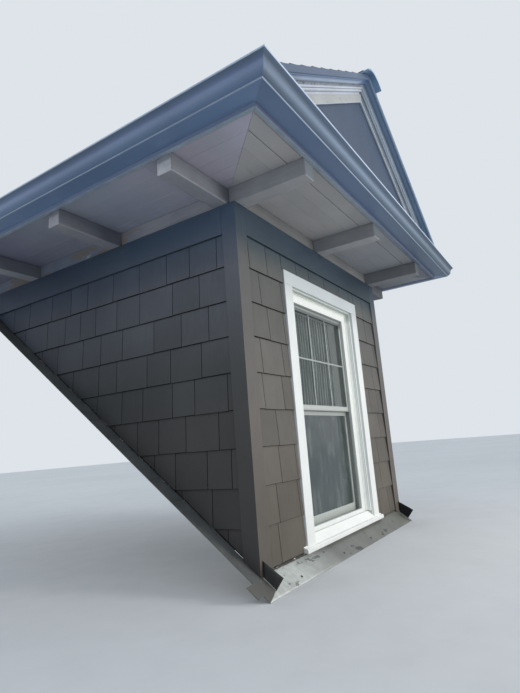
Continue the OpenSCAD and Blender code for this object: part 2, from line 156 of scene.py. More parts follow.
def cast(tree, tint, axis, stops):
    """Multiplies a tint by stops (place, red, green, blue) or (place, grey) along an axis; 255 changes nothing."""
    where = add(tree, "ShaderNodeTexCoord").outputs["Object"]
    value = add(tree, "ShaderNodeSeparateXYZ", {0: where}).outputs[axis]
    low, high = stops[0][0], stops[-1][0]
    tones = [((level - low) / (high - low), tone if len(tone) == 3 else tone * 3) for level, *tone in stops]
    return blend_colours(tree, 1.0, tint, stepped(tree, between(tree, value, low, high), tones), "MULTIPLY")


# %% The finish builder
BROAD_SHARE, FINE_SHARE, TONE_LOW, TONE_HIGH = 0.6, 0.4, 0.34, 0.66
CRISP, HOLE_DEPTH = 0.012, 0.9
FINISHES = {}


def fresh(name):
    """A new material, kept by its name, with its tree, its Principled shader and its own coordinates."""
    material = FINISHES[name] = bpy.data.materials.new(name)
    material.use_nodes = True
    tree = material.node_tree
    return material, tree, tree.nodes["Principled BSDF"], add(tree, "ShaderNodeTexCoord").outputs["Object"]


def dress(tree, shader, tint, rough, height, relief):
    """Links a tint, a roughness and a relief to a shader."""
    bump = add(tree, "ShaderNodeBump", {"Height": height, "Distance": relief, "Strength": 1.0})
    for key, value in (("Base Color", tint), ("Roughness", rough), ("Normal", bump.outputs["Normal"])):
        tree.links.new(value, shader.inputs[key])


def built(name, tones, patch, grit, rough, relief, stretch=EVEN, metal=0.0, specular=0.5, flakes=(), shade=0.0,
          casts=()):
    material, tree, shader, where = fresh(name)
    broad = patches(tree, where, patch)
    fine = patches(tree, where, grit, 4.0, 0.55, (3, 1, 2), stretch)
    height = fine
    grain = arithmetic(tree, "ADD", arithmetic(tree, "MULTIPLY", broad, BROAD_SHARE),
                       arithmetic(tree, "MULTIPLY", fine, FINE_SHARE))
    tint = ramp(tree, grain, tones, TONE_LOW, TONE_HIGH)
    for i, (bare, size, share, along) in enumerate(flakes):
        spots = patches(tree, where, size, 9.0, 0.68, (7 + i, 5, 3 * i), along)
        hole = between(tree, spots, 1.0 - share - CRISP, 1.0 - share + CRISP)
        tint = blend_colours(tree, hole, tint, colour(*bare))
        height = arithmetic(tree, "SUBTRACT", height, arithmetic(tree, "MULTIPLY", hole, HOLE_DEPTH))
    if shade:
        own = add(tree, "ShaderNodeAttribute", attribute_name="shade").outputs["Fac"]
        level = between(tree, own, 0.0, 1.0, 1.0 - shade, 1.0 + shade)
        grey = add(tree, "ShaderNodeCombineColor", {"Red": level, "Green": level, "Blue": level})
        tint = blend_colours(tree, 1.0, tint, grey.outputs["Color"], "MULTIPLY")
    for axis, stops in casts:
        tint = cast(tree, tint, axis, stops)
    dress(tree, shader, tint, between(tree, fine, 0.3, 0.7, *rough), height, relief)
    shader.inputs["Metallic"].default_value = metal
    shader.inputs["Specular IOR Level"].default_value = specular
    return material


def finish(name, tones, kind, **own):
    """A finish of one kind in its own tones; whatever differs from the kind is given by name."""
    return built(name, tones, **{**kind, **own})


def paint(piece, coat):
    """Puts one finish in all of a piece's material slots."""
    if not piece.material_slots:
        piece.data.materials.append(FINISHES[coat])
    for holder in piece.material_slots:
        holder.material = FINISHES[coat]


# %% [markdown]
# ### The finishes of this dormer
# Dark warm paint on the shingles and boards, bright white on the window, slate-blue metal and paint on the gutter and
# gable, greyed paint peeling off old boards under the eaves, and plain timber where nobody looks. Finishes of one
# kind share their grain, gloss and relief, so the kinds are written once.

# %% Kinds
SHINGLE = dict(patch=2.2, grit=90, stretch=LONG_Z, rough=(0.5, 0.7), relief=0.0006, shade=0.12, specular=0.35)
BOARD = dict(patch=1.8, grit=120, stretch=LONG_Z, rough=(0.42, 0.6), relief=0.00025, specular=0.4)
WHITE = dict(patch=3.0, grit=150, stretch=LONG_Z, rough=(0.35, 0.5), relief=0.0001)
PLASTIC = dict(patch=1.5, grit=30, rough=(0.3, 0.42), relief=0.00003)
SHEET = dict(patch=1.6, grit=200, rough=(0.32, 0.45), relief=0.00006, specular=0.6)
ROLLED = dict(patch=3.0, grit=90, stretch=LONG_X, rough=(0.3, 0.5), relief=0.0001)
COAT = dict(patch=2.0, grit=130, rough=(0.45, 0.6), relief=0.0002)
SOFFIT = dict(patch=2.6, grit=340, rough=(0.6, 0.8), relief=0.0003, shade=0.03)
BEAM = dict(patch=5.0, grit=120, stretch=LONG_X, rough=(0.6, 0.8), relief=0.0004)
RAKE = dict(patch=5.0, grit=80, stretch=LONG_X, rough=(0.6, 0.8), relief=0.0004)
SPECKLED = dict(patch=20.0, grit=200, rough=(0.6, 0.8), relief=0.0006)
OLD_WOOD = dict(patch=4.0, grit=70, stretch=LONG_X, rough=(0.7, 0.85), relief=0.0005)
SAWN = dict(patch=2.5, grit=60, stretch=LONG_X, rough=(0.65, 0.8), relief=0.0004)
PLASTER = dict(patch=2.0, grit=240, rough=(0.8, 0.9), relief=0.0003)
DULL = dict(patch=8.0, grit=90, rough=(0.5, 0.7), relief=0.0004)
DARK = dict(patch=6.0, specular=0.1)

# %% Wall paint
# Painted shade on the walls: the front darker and bluer towards the eaves and a little darker and warmer low down;
# the cheeks darker low down and towards the back, bluer near the eaves; the front frieze darker towards the right.
FRONT_PAINTED_SHADE = ("Z", [(0.2, 242, 236, 226), (0.8, 255), (1.45, 230, 242, 250), (1.58, 150, 190, 222),
                    (1.66, 124, 173, 220), (1.73, 112, 158, 200)])
CHEEK_PAINTED_SHADE = ("Z", [(0.4, 168, 159, 145), (0.9, 184, 183, 169), (1.4, 255), (1.66, 186, 224, 252),
                    (1.73, 186, 224, 252)])
CHEEK_DEPTH_SHADE = ("Y", [(0.1, 250), (0.3, 240, 241, 241), (1.0, 182, 187, 193), (1.6, 168, 175, 184)])
CHEEK = [CHEEK_PAINTED_SHADE, CHEEK_DEPTH_SHADE]
FRIEZE_SHADE_ALONG = ("X", [(-0.9, 250, 252, 253), (0.0, 240, 242, 243), (0.5, 208, 211, 213), (0.98, 200, 204, 206)])
BOARD_TONES = [(82, 79, 77), (90, 86, 83), (97, 93, 90)]
# The cheek's shingle and board paints are lighter, bluer copies of the front's paint: painted light.
finish("front_shingle_paint", [(79, 76, 73), (90, 87, 83), (99, 96, 92)], SHINGLE, casts=[FRONT_PAINTED_SHADE])
finish("cheek_shingle_painted_light", [(86, 88, 96), (97, 99, 108), (107, 109, 118)], SHINGLE, casts=CHEEK)
finish("front_frieze_paint", BOARD_TONES, BOARD, stretch=LONG_X, casts=[FRONT_PAINTED_SHADE, FRIEZE_SHADE_ALONG])
finish("front_board_paint", BOARD_TONES, BOARD, casts=[FRONT_PAINTED_SHADE])
finish("cheek_board_painted_light", [(89, 91, 100), (97, 99, 108), (104, 106, 115)], BOARD, casts=CHEEK)
finish("butt_shadow", [(30, 28, 27), (38, 36, 34), (46, 43, 41)], DARK, grit=90, stretch=LONG_X, rough=(0.8, 0.9),
       relief=0.0004)
finish("felt", [(24, 24, 25), (32, 32, 33), (40, 40, 41)], DARK, grit=200, rough=(0.85, 0.95), relief=0.0003)
print("wall paints:", len(FINISHES))

# %% Window paint
# Painted light and shade on the window: the white paint darker and bluer towards the head under the eaves, the frame
# darker deeper in its pockets, and the sashes darker at the bottom rail and under the meeting rail, paler on the
# meeting rail, and dark along the upper sash's top rail with one pale line.
HEAD_PAINTED_SHADE = ("Z", [(0.0, 255), (0.9, 250, 251, 252), (1.3, 240, 242, 244), (1.41, 216, 220, 224),
                   (1.5, 210, 216, 222)])
HEAD_SHADE = ("Z", [(1.34, 255), (1.365, 218, 221, 218)])
POCKET_PAINTED_SHADE = ("Y", [(-0.002, 255), (0.004, 246, 247, 245), (0.018, 204, 207, 204), (0.025, 180, 184, 181),
                     (0.07, 172, 176, 173)])
SASH_PAINTED_LIGHT_AND_SHADE = ("Z", [(0.05, 198, 200, 198), (0.11, 222, 225, 222), (0.6, 218, 221, 218), (0.69, 190, 192, 190),
                   (0.708, 182, 184, 182), (0.722, 218, 220, 218), (0.74, 205, 208, 206), (1.28, 225, 228, 230),
                   (1.311, 118, 121, 122), (1.325, 108, 112, 113), (1.332, 178, 181, 181), (1.338, 178, 181, 181),
                   (1.345, 104, 107, 108)])
finish("white_paint", [(209, 212, 211), (217, 219, 218), (223, 225, 223)], WHITE, casts=[HEAD_PAINTED_SHADE])
# The sill's upward faces get a brighter copy of the white: painted light.
finish("sill_top_painted_light", [(233, 235, 233), (240, 242, 240), (246, 248, 246)], WHITE, stretch=LONG_X,
       rough=(0.4, 0.55), relief=0.0002)
finish("white_plastic", [(206, 209, 209), (213, 216, 215), (219, 222, 221)], PLASTIC)
# The reveal's white is a brighter copy of the window's white plastic: painted light; its head is darkened as painted
# shade.
finish("reveal_white_painted_light", [(240, 243, 241), (245, 248, 246), (249, 252, 250)], PLASTIC, rough=(0.35, 0.5),
       casts=[HEAD_SHADE])
finish("frame_white", [(210, 213, 211), (218, 221, 219), (224, 227, 225)], PLASTIC, casts=[POCKET_PAINTED_SHADE])
# The sashes and glazing bars are greyer copies of the white plastic: painted shade.
finish("sash_painted_shade", [(194, 198, 196), (202, 206, 204), (208, 212, 210)], PLASTIC, casts=[SASH_PAINTED_LIGHT_AND_SHADE])
finish("bar_painted_shade", [(150, 155, 154), (158, 163, 162), (166, 171, 170)], PLASTIC)
print("with the window's:", len(FINISHES))

# %% Gutter metal and fascia paint
# Painted light and shade on the gutter and fascia: darker towards the right, the ogee faces in painted bands of
# highlight and shade by height, and the fascia's lower edge darker towards the right.
GUTTER_SHADE_ALONG = ("X", [(-1.5, 255), (-0.4, 255), (0.6, 210, 216, 215), (1.5, 205, 212, 211)])
FRONT_OGEE_LIGHT_AND_SHADE = ("Z", [(1.8352, 240, 252, 252), (1.8385, 150, 165, 161), (1.8437, 183, 192, 183), (1.849, 204, 213, 201),
                    (1.855, 227, 231, 217), (1.8665, 253, 255, 239), (1.8775, 248, 250, 236), (1.8825, 217, 222, 214),
                    (1.8875, 186, 199, 193), (1.8975, 160, 174, 172), (1.907, 184, 192, 194), (1.915, 196, 203, 208)])
SIDE_OGEE_LIGHT_AND_SHADE = ("Z", [(1.8352, 245, 255, 255), (1.8385, 198, 213, 219), (1.8475, 224, 233, 232), (1.86, 246, 248, 247),
                   (1.872, 255), (1.881, 255, 253, 255), (1.8885, 226, 226, 234), (1.896, 206, 211, 215),
                   (1.903, 189, 195, 190), (1.915, 200, 205, 205)])
FASCIA_EDGE_SHADE_ALONG = ("X", [(-1.4, 255), (-0.4, 255), (0.6, 186, 184, 198), (1.4, 182, 180, 195)])
# The front and side gutter metals are differently lit copies of one paint: painted light.
finish("front_gutter_painted_light", [(96, 111, 141), (103, 119, 151), (110, 127, 160)], SHEET, casts=[FRONT_OGEE_LIGHT_AND_SHADE, GUTTER_SHADE_ALONG])
finish("side_gutter_painted_light", [(104, 122, 153), (111, 130, 163), (118, 138, 172)], SHEET, casts=[SIDE_OGEE_LIGHT_AND_SHADE])
# The paler lip and bead are painted highlights along the gutter's rolled edges.
finish("lip_painted_highlight", [(168, 184, 206), (186, 200, 220), (200, 212, 228)], ROLLED)
finish("bead_painted_highlight", [(132, 147, 168), (146, 161, 182), (158, 172, 192)], ROLLED, casts=[GUTTER_SHADE_ALONG])
finish("slate_paint", [(76, 98, 124), (86, 109, 136), (94, 118, 145)], COAT, stretch=LONG_X)
# The front fascia's darker coat and the sides' lighter coat are copies of one paint: painted light and shade.
finish("front_fascia_painted_shade", [(73, 83, 106), (79, 89, 113), (84, 96, 120)], COAT)
finish("side_fascia_painted_light", [(124, 136, 161), (130, 142, 168), (136, 149, 175)], COAT)
finish("fascia_edge", [(128, 142, 154), (142, 156, 168), (156, 169, 180)], BEAM, patch=10.0, stretch=EVEN,
       flakes=(((92, 100, 108), 24.0, 0.3, (1, 1, 1)),), casts=[FASCIA_EDGE_SHADE_ALONG])
finish("gable_paint", [(49, 63, 83), (57, 72, 95), (64, 80, 104)], COAT, patch=1.8, grit=110, rough=(0.5, 0.65))
print("with the gutter's:", len(FINISHES))

# %% Paint and wood under the eaves
# Painted light and shade under the eaves: the front soffit darker towards the right, the side soffits darker towards
# the back and on the right side, the beams darker at their right ends, the lookouts and the end grain darker towards
# the right, and the worn ends and the bed boards darker towards the back, the bed boards also bluer there.
SOFFIT_SHADE_ALONG = ("X", [(-1.3, 255), (-0.4, 255), (0.5, 226, 232, 240), (0.8, 218, 226, 234), (1.1, 178, 185, 198),
                       (1.3, 176, 183, 196)])
SOFFIT_DEPTH_SHADE = ("Y", [(-0.35, 255), (-0.2, 234, 238, 230), (-0.08, 229, 227, 223), (0.2, 231, 235, 236),
                      (0.5, 216, 227, 226), (1.0, 199, 209, 208), (1.4, 171, 175, 183)])
SIDE_SOFFIT_SHADE_ACROSS = ("X", [(-0.9, 255), (0.9, 196, 204, 198)])
BEAM_END_SHADE = ("X", [(0.9, 255), (0.98, 178, 181, 184)])
LOOKOUT_SHADE_ALONG = ("X", [(0.0, 255), (0.4, 250), (0.85, 206, 208, 210)])
END_GRAIN_SHADE_ALONG = ("X", [(-0.911, 255), (0.0, 216, 218, 220), (0.911, 190, 194, 197), (1.378, 160, 165, 172)])
END_FADE = ("Z", [(1.734, 255), (1.782, 252), (1.796, 196, 198, 202), (1.823, 186, 189, 194)])
WORN_END_DEPTH_SHADE = ("Y", [(0.05, 255), (0.8, 226, 222, 226), (1.6, 205, 202, 208)])
BED_DEPTH_SHADE = ("Y", [(0.1, 255), (0.55, 255, 253, 255), (1.0, 198, 212, 228), (1.5, 188, 200, 216)])
# The front and side soffit paints are copies of one paint that differ by painted light.
finish("front_soffit_painted_light", [(160, 158, 160), (170, 168, 168), (176, 172, 168)], SOFFIT, casts=[SOFFIT_SHADE_ALONG])
finish("side_soffit_painted_light", [(172, 169, 185), (184, 180, 197), (191, 185, 197)], SOFFIT,
       casts=[SOFFIT_DEPTH_SHADE, SIDE_SOFFIT_SHADE_ACROSS])
finish("beam_paint", [(130, 131, 137), (142, 143, 149), (152, 152, 157)], BEAM,
       flakes=(((170, 168, 170), 9.0, 0.28, (1, 1, 1)),), casts=[BEAM_END_SHADE])
# The beams' front faces get a darker copy of the beam paint: painted shade.
finish("beam_front_painted_shade", [(98, 100, 108), (108, 110, 118), (118, 120, 127)], BEAM,
       flakes=(((76, 76, 82), 30.0, 0.3, (0.3, 1, 1)),), casts=[BEAM_END_SHADE])
finish("worn_end", [(172, 172, 176), (190, 190, 194), (204, 204, 208)], OLD_WOOD, patch=20.0, grit=120, stretch=EVEN,
       relief=0.0008, flakes=(((110, 106, 106), 60.0, 0.3, (1, 1, 1)),), casts=[END_FADE, WORN_END_DEPTH_SHADE])
finish("end_grain", [(90, 97, 104), (101, 108, 115), (111, 118, 125)], OLD_WOOD, patch=12.0, grit=160, stretch=EVEN,
       relief=0.0006, flakes=(((196, 198, 200), 40.0, 0.3, (1, 1, 1)),), casts=[END_GRAIN_SHADE_ALONG])
# The lookouts' sides get a darker copy of their paint: painted shade.
finish("lookout_side_painted_shade", [(136, 137, 140), (147, 148, 152), (158, 159, 163)], BEAM, stretch=LONG_Y,
       casts=[LOOKOUT_SHADE_ALONG])
finish("lookout_paint", [(148, 148, 151), (162, 162, 164), (172, 172, 173)], BEAM, stretch=LONG_Y,
       casts=[LOOKOUT_SHADE_ALONG])
finish("front_bed_wood", [(88, 90, 92), (96, 98, 100), (104, 106, 107)], OLD_WOOD)
finish("bare_wood", [(142, 144, 152), (156, 157, 163), (168, 167, 170)], OLD_WOOD, stretch=LONG_Y, relief=0.0006,
       flakes=(((164, 146, 130), 9.0, 0.45, (1, 0.2, 1)), ((202, 196, 190), 16.0, 0.36, (1, 0.15, 1))),
       casts=[BED_DEPTH_SHADE])
print("with the eaves':", len(FINISHES))

# %% Paint on the rakes
# The left rake is bleached, and the right one, turned away from the weather, keeps its blue. Painted light and shade
# on the rakes: the friezes' undersides are pale with a darker inner edge, and the left crown carries a pale highlight
# band across its depth that darkens towards the peak.
FRIEZE_UNDERSIDE_SHADE = ("Y", [(-0.458, 255), (-0.45, 255), (-0.446, 150, 155, 165), (-0.44, 140, 146, 158)])
CROWN_PEAK_SHADE = ("X", [(-0.16, 255), (-0.07, 150, 172, 200), (0.0, 124, 146, 178)])
CROWN_HIGHLIGHT_BAND = ("Y", [(-0.526, 150, 165, 190), (-0.519, 186, 197, 212), (-0.511, 232, 236, 241), (-0.503, 255),
                    (-0.495, 248, 250, 252), (-0.488, 196, 202, 206)])
finish("frieze_pale", [(152, 155, 156), (162, 165, 166), (172, 175, 175)], RAKE, grit=120, stretch=EVEN,
       relief=0.0006, flakes=(((132, 130, 126), 34.0, 0.36, (0.4, 1, 1)),))
finish("frieze_blue", [(92, 101, 111), (100, 110, 121), (109, 119, 130)], RAKE,
       flakes=(((160, 168, 178), 30.0, 0.33, (0.4, 1, 1)),))
finish("frieze_underside_painted_light", [(186, 196, 206), (196, 206, 216), (206, 215, 224)], RAKE, patch=8.0, casts=[FRIEZE_UNDERSIDE_SHADE])
finish("bed_pale", [(170, 178, 189), (180, 188, 199), (190, 198, 208)], RAKE,
       flakes=(((132, 138, 146), 24.0, 0.32, (0.4, 1, 1)),))
finish("bed_blue", [(118, 129, 144), (128, 140, 155), (140, 151, 166)], RAKE,
       flakes=(((160, 168, 180), 30.0, 0.32, (0.4, 1, 1)),))
finish("crown_painted_highlight", [(170, 184, 206), (180, 194, 216), (190, 204, 224)], RAKE, patch=6.0, grit=90,
       rough=(0.5, 0.7), relief=0.0002, casts=[CROWN_HIGHLIGHT_BAND, CROWN_PEAK_SHADE])
finish("cove_pale", [(112, 121, 131), (128, 136, 147), (144, 152, 162)], SPECKLED, grit=300,
       flakes=(((88, 98, 112), 70.0, 0.42, (0.6, 1, 1)),))
finish("drip_paint", [(70, 85, 110), (78, 94, 119), (86, 102, 127)], COAT, rough=(0.4, 0.55))
finish("cap_paint", [(108, 138, 168), (117, 147, 177), (126, 156, 186)], COAT, rough=(0.4, 0.55))
print("with the rakes':", len(FINISHES))

# %% Roofing, flashings and what is inside
# Painted light and shade at the foot: the apron lighter at its left end, the corner flaps darker and bluer towards
# the right.
APRON_LIGHT_ALONG = ("X", [(-1.05, 255, 255, 252), (-0.75, 250, 253, 250), (-0.3, 160, 159, 156), (0.95, 142, 142, 134)])
FLAP_SHADE_ALONG = ("X", [(-0.95, 255), (0.95, 40, 70, 104)])
INSIDE_TONES = [(206, 203, 196), (216, 213, 207), (224, 222, 216)]
finish("granules", [(50, 58, 64), (66, 76, 86), (84, 94, 106)], DARK, patch=3.0, grit=420, rough=(0.8, 0.95),
       relief=0.0012, shade=0.16, specular=0.2)
finish("weathered_deck", [(84, 76, 68), (100, 90, 79), (116, 104, 91)], SAWN, stretch=LONG_Y, rough=(0.7, 0.9))
finish("sawn_timber", [(150, 118, 82), (176, 142, 102), (196, 164, 124)], SAWN)
finish("upright_timber", [(156, 128, 94), (180, 150, 112), (198, 170, 134)], SAWN, patch=2.0, stretch=LONG_Z)
finish("plaster", INSIDE_TONES, PLASTER)
finish("apron_metal", [(176, 178, 178), (200, 202, 201), (220, 222, 220)], DULL, patch=5.0, grit=50,
       stretch=(1, 0.3, 1), rough=(0.35, 0.6), metal=0.4, flakes=(((130, 132, 132), 11.0, 0.4, (0.6, 1, 1)),),
       casts=[APRON_LIGHT_ALONG])
finish("plate_metal", [(82, 82, 79), (92, 92, 88), (102, 101, 97)], DULL,
       flakes=(((150, 150, 145), 26.0, 0.32, (1, 1, 1)),))
finish("strip_metal", [(80, 82, 82), (90, 92, 92), (100, 102, 101)], DULL, shade=0.08)
finish("dark_metal", [(48, 49, 49), (62, 63, 63), (74, 75, 75)], DULL, rough=(0.45, 0.7), metal=0.3,
       casts=[FLAP_SHADE_ALONG])
finish("lip_finish", [(160, 161, 157), (176, 177, 172), (190, 191, 186)], DULL)
finish("sealant", [(40, 38, 37), (52, 50, 48), (64, 61, 58)], SPECKLED,
       flakes=(((186, 184, 176), 40.0, 0.42, (0.5, 1, 1)),))
print("finishes:", len(FINISHES))

# %% [markdown]
# ## Piece helpers
# Four ways of making a piece are used again and again: an eased copy of a solid, whose sharp edges are rounded by a
# Bevel modifier so that they catch the light; a moulding swept along a path with mitred corners; a sheet drawn
# through rows of points; and a mesh built by a Geometry Nodes tree.

# %% Make and ease pieces
MERGE, FLAT, CORNER = 1e-5, math.radians(0.5), math.radians(40)


def new_piece(name, mesh, coat, slot, *solids):
    piece = bpy.data.objects.new(name, mesh)
    scene.collection.objects.link(piece)
    paint(piece, coat)
    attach(piece, "root")
    if solids:
        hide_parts(*solids)
    return piece


def as_mesh(shape, name, materials=()):
    """Turns a bmesh into a mesh and lets go of it."""
    mesh = bpy.data.meshes.new(name)
    for material in materials:
        mesh.materials.append(material)
    shape.to_mesh(mesh)
    shape.free()
    return mesh


def merged_copy(solid):
    shape = bmesh.new()
    shape.from_mesh(SOLIDS[solid].data)
    bmesh.ops.remove_doubles(shape, verts=shape.verts, dist=MERGE)
    bmesh.ops.dissolve_limit(shape, angle_limit=FLAT, verts=shape.verts, edges=shape.edges)
    return shape


def eased(solid, coat, slot, width=0.0015, segments=2):
    """A copy of a solid with its edges rounded, in the solid's place."""
    name = solid + "_eased"
    piece = new_piece(name, as_mesh(merged_copy(solid), name), coat, slot, solid)
    bevel = piece.modifiers.new("eased_edges", "BEVEL")
    bevel.width = width
    bevel.segments = segments
    bevel.limit_method = "ANGLE"
    bevel.angle_limit = CORNER
    return piece


def second_finish(piece, coat, chosen):
    """Gives a second finish to the faces that a test picks out."""
    piece.data.materials.append(FINISHES[coat])
    for face in piece.data.polygons:
        if chosen(face):
            face.material_index = len(piece.data.materials) - 1
    return piece


def thickened(piece, thickness, offset):
    """Gives a thin sheet its real thickness."""
    sheet = piece.modifiers.new("sheet", "SOLIDIFY")
    sheet.thickness = thickness
    sheet.offset = offset


# %% Cut, join and smooth meshes
def cut_away(shape, point, outward):
    """Cuts a bmesh with a plane and closes the cut."""
    every = shape.verts[:] + shape.edges[:] + shape.faces[:]
    cut = bmesh.ops.bisect_plane(shape, geom=every, dist=1e-6, plane_co=point, plane_no=outward, clear_outer=True)
    rim = [e for e in cut["geom_cut"] if isinstance(e, bmesh.types.BMEdge) and e.is_boundary]
    bmesh.ops.holes_fill(shape, edges=rim, sides=0)


def trim(mesh, *planes):
    shape = bmesh.new()
    shape.from_mesh(mesh)
    for point, outward in planes:
        cut_away(shape, Vector(point), Vector(outward))
    shape.to_mesh(mesh)
    shape.free()
    return mesh


def joined(name, *meshes):
    shape = bmesh.new()
    for mesh in meshes:
        shape.from_mesh(mesh)
    return as_mesh(shape, name, meshes[0].materials)


def boxes(name, corners):
    """A mesh of upright boxes, each from its low to its high corner."""
    shape = bmesh.new()
    for low, high in corners:
        for vertex in bmesh.ops.create_cube(shape, size=1.0)["verts"]:
            vertex.co = Vector(low[i] if vertex.co[i] < 0 else high[i] for i in range(3))
    return as_mesh(shape, name)


def sway(*place):
    """A smooth random value; the same place always gives the same value."""
    return noise.noise(Vector(place))


def smooth(mesh, angle=35.0):
    mesh.shade_smooth()
    mesh.set_sharp_from_angle(angle=math.radians(angle))
    return mesh


# %% Sweep a section, or draw a sheet
def swept(name, section, stations):
    """A closed section carried through stations; a station turns (reach, height) into a point."""
    shape = bmesh.new()
    loops = [[shape.verts.new(place(*point)) for point in section] for place in stations]
    count = len(section)
    for near, far in zip(loops, loops[1:]):
        for i in range(count):
            j = (i + 1) % count
            shape.faces.new((near[i], near[j], far[j], far[i]))
    shape.faces.new(loops[0][::-1])
    shape.faces.new(loops[-1])
    bmesh.ops.recalc_face_normals(shape, faces=shape.faces)
    return as_mesh(shape, name)


def woven(name, rows):
    """A sheet of four-sided faces over rows of points."""
    shape = bmesh.new()
    grid = [[shape.verts.new(point) for point in row] for row in rows]
    for near, far in zip(grid, grid[1:]):
        for i in range(len(near) - 1):
            shape.faces.new((near[i], near[i + 1], far[i + 1], far[i]))
    return as_mesh(shape, name)


# %% [markdown]
# ## Lapped courses with Geometry Nodes
# Shingles, roofing and boards are the same job: rows of pieces, each row a little higher than the last, with joints
# at random places. One tree does them all. A line of points is dealt out into rows, each point gets a random width
# from a fixed seed, and Accumulate Field adds the widths up into a place along its row. A real-size slat is set on
# each point and only its length is scaled.

# %% Start, end and run a tree
def slat(name, section):
    """A slat one metre long along X; its section gives the share of the row's height and the thickness."""
    ends = [(lambda a, t, x=x: (x, a, t)) for x in (0.0, 1.0)]
    return bpy.data.objects.new(name, swept(name, section, ends))


def started(name, **inputs):
    """A Geometry Nodes tree with its named inputs."""
    tree = bpy.data.node_groups.new(name, "GeometryNodeTree")
    for key, kind in inputs.items():
        tree.interface.new_socket(name=key, in_out="INPUT", socket_type="NodeSocket" + kind)
    tree.interface.new_socket(name="Geometry", in_out="OUTPUT", socket_type="NodeSocketGeometry")
    return tree, add(tree, "NodeGroupInput").outputs


def ended(tree, pieces, tone, coat):
    """Gives each piece its own shade, makes the pieces real and sets their finish."""
    toned = add(tree, "GeometryNodeStoreNamedAttribute", {"Geometry": pieces, "Name": "shade", "Value": tone},
                data_type="FLOAT", domain="INSTANCE")
    solid = add(tree, "GeometryNodeRealizeInstances", {0: toned.outputs[0]})
    done = add(tree, "GeometryNodeSetMaterial", {"Geometry": solid.outputs[0], "Material": coat})
    add(tree, "NodeGroupOutput", {0: done.outputs[0]})
    return tree


def grown(name, tree, values):
    """Runs a tree once and returns its result as a plain mesh."""
    host = bpy.data.objects.new(name + "_host", bpy.data.meshes.new(name + "_host"))
    scene.collection.objects.link(host)
    builder = host.modifiers.new("builder", "NODES")
    builder.node_group = tree
    for item in tree.interface.items_tree:
        if item.in_out == "INPUT" and item.name in values:
            builder[item.identifier] = values[item.name]
    graph = bpy.context.evaluated_depsgraph_get()
    mesh = bpy.data.meshes.new_from_object(host.evaluated_get(graph), preserve_all_data_layers=True, depsgraph=graph)
    mesh.name = name
    bpy.data.objects.remove(host)
    return mesh


# %% The course tree
SCRAP = 0.012


def course_tree():
    """Rows of slats; a piece shorter than a scrap is left out."""
    tree, given = started("lapped_courses", Slat="Object", Length="Float", Exposure="Float", Courses="Int",
                          Pieces="Int", Narrow="Float", Wide="Float", Gap="Float", Cover="Float", Wander="Float",
                          Ragged="Float", Seed="Int", Finish="Material")

    def calc(operation, first, second=0.0):
        return arithmetic(tree, operation, first, second)

    def chance(low, high, key, shift):
        seed = calc("ADD", given["Seed"], shift)
        return add(tree, "FunctionNodeRandomValue", {"Seed": seed, "ID": key, 2: low, 3: high},
                   data_type="FLOAT").outputs[1]

    index = add(tree, "GeometryNodeInputIndex").outputs[0]
    course = calc("FLOOR", calc("DIVIDE", calc("ADD", index, 0.5), given["Pieces"]))
    points = add(tree, "GeometryNodeMeshLine", {"Count": calc("MULTIPLY", given["Courses"], given["Pieces"])})
    width = chance(given["Narrow"], given["Wide"], index, 0)
    adding = add(tree, "GeometryNodeAccumulateField", {0: width, "Group ID": course}, data_type="FLOAT",
                 domain="POINT")
    lead = calc("SUBTRACT", adding.outputs["Trailing"], chance(0.0, given["Wide"], course, 11))
    low_end = calc("MULTIPLY", -1.0, chance(0.0, given["Ragged"], course, 17))
    left = calc("MAXIMUM", lead, low_end)
    right = calc("MINIMUM", calc("SUBTRACT", calc("ADD", lead, width), given["Gap"]), given["Length"])
    size = calc("SUBTRACT", right, left)
    stray = calc("MULTIPLY", given["Wander"], chance(-1.0, 1.0, index, 23))
    row = calc("ADD", calc("MULTIPLY", course, given["Exposure"]), stray)
    spot = add(tree, "ShaderNodeCombineXYZ", {"X": left, "Y": row, "Z": 0.0})
    placed = add(tree, "GeometryNodeSetPosition", {"Geometry": points.outputs[0], "Position": spot.outputs[0]})
    scrap = calc("LESS_THAN", size, SCRAP)
    sized = add(tree, "GeometryNodeStoreNamedAttribute", {"Geometry": placed.outputs[0], "Name": "size",
                                                          "Value": size}, data_type="FLOAT", domain="POINT")
    kept = add(tree, "GeometryNodeDeleteGeometry", {"Geometry": sized.outputs[0], "Selection": scrap})
    stored = add(tree, "GeometryNodeInputNamedAttribute", {"Name": "size"}, data_type="FLOAT").outputs[0]
    body = add(tree, "GeometryNodeObjectInfo", {"Object": given["Slat"]}, transform_space="ORIGINAL")
    stretch = add(tree, "ShaderNodeCombineXYZ", {"X": stored, "Y": calc("ADD", given["Exposure"], given["Cover"]),
                                                 "Z": 1.0})
    laid_out = add(tree, "GeometryNodeInstanceOnPoints", {
        "Points": kept.outputs[0], "Instance": body.outputs["Geometry"], "Scale": stretch.outputs[0]})
    return ended(tree, laid_out.outputs[0], chance(0.0, 1.0, index, 31), given["Finish"])


# %% Lay courses on a plane
COURSES = course_tree()


def laid(name, unit, origin, along, up, outward, length, exposure, courses, widths, coat, gap=0.004, cover=0.0,
         wander=0.0, ragged=0.0, seed=1):
    """Lays courses on a plane given by its origin and its three directions."""
    mesh = grown(name, COURSES, {
        "Slat": unit, "Length": length, "Exposure": exposure, "Courses": courses,
        "Pieces": int(length / widths[0]) + 3, "Narrow": widths[0], "Wide": widths[1], "Gap": gap, "Cover": cover,
        "Wander": wander, "Ragged": ragged, "Seed": seed, "Finish": FINISHES[coat]})
    axes = Matrix((Vector(along), Vector(up), Vector(outward))).transposed().to_4x4()
    mesh.transform(Matrix.Translation(origin) @ axes)
    if axes.determinant() < 0:
        mesh.flip_normals()
    return mesh


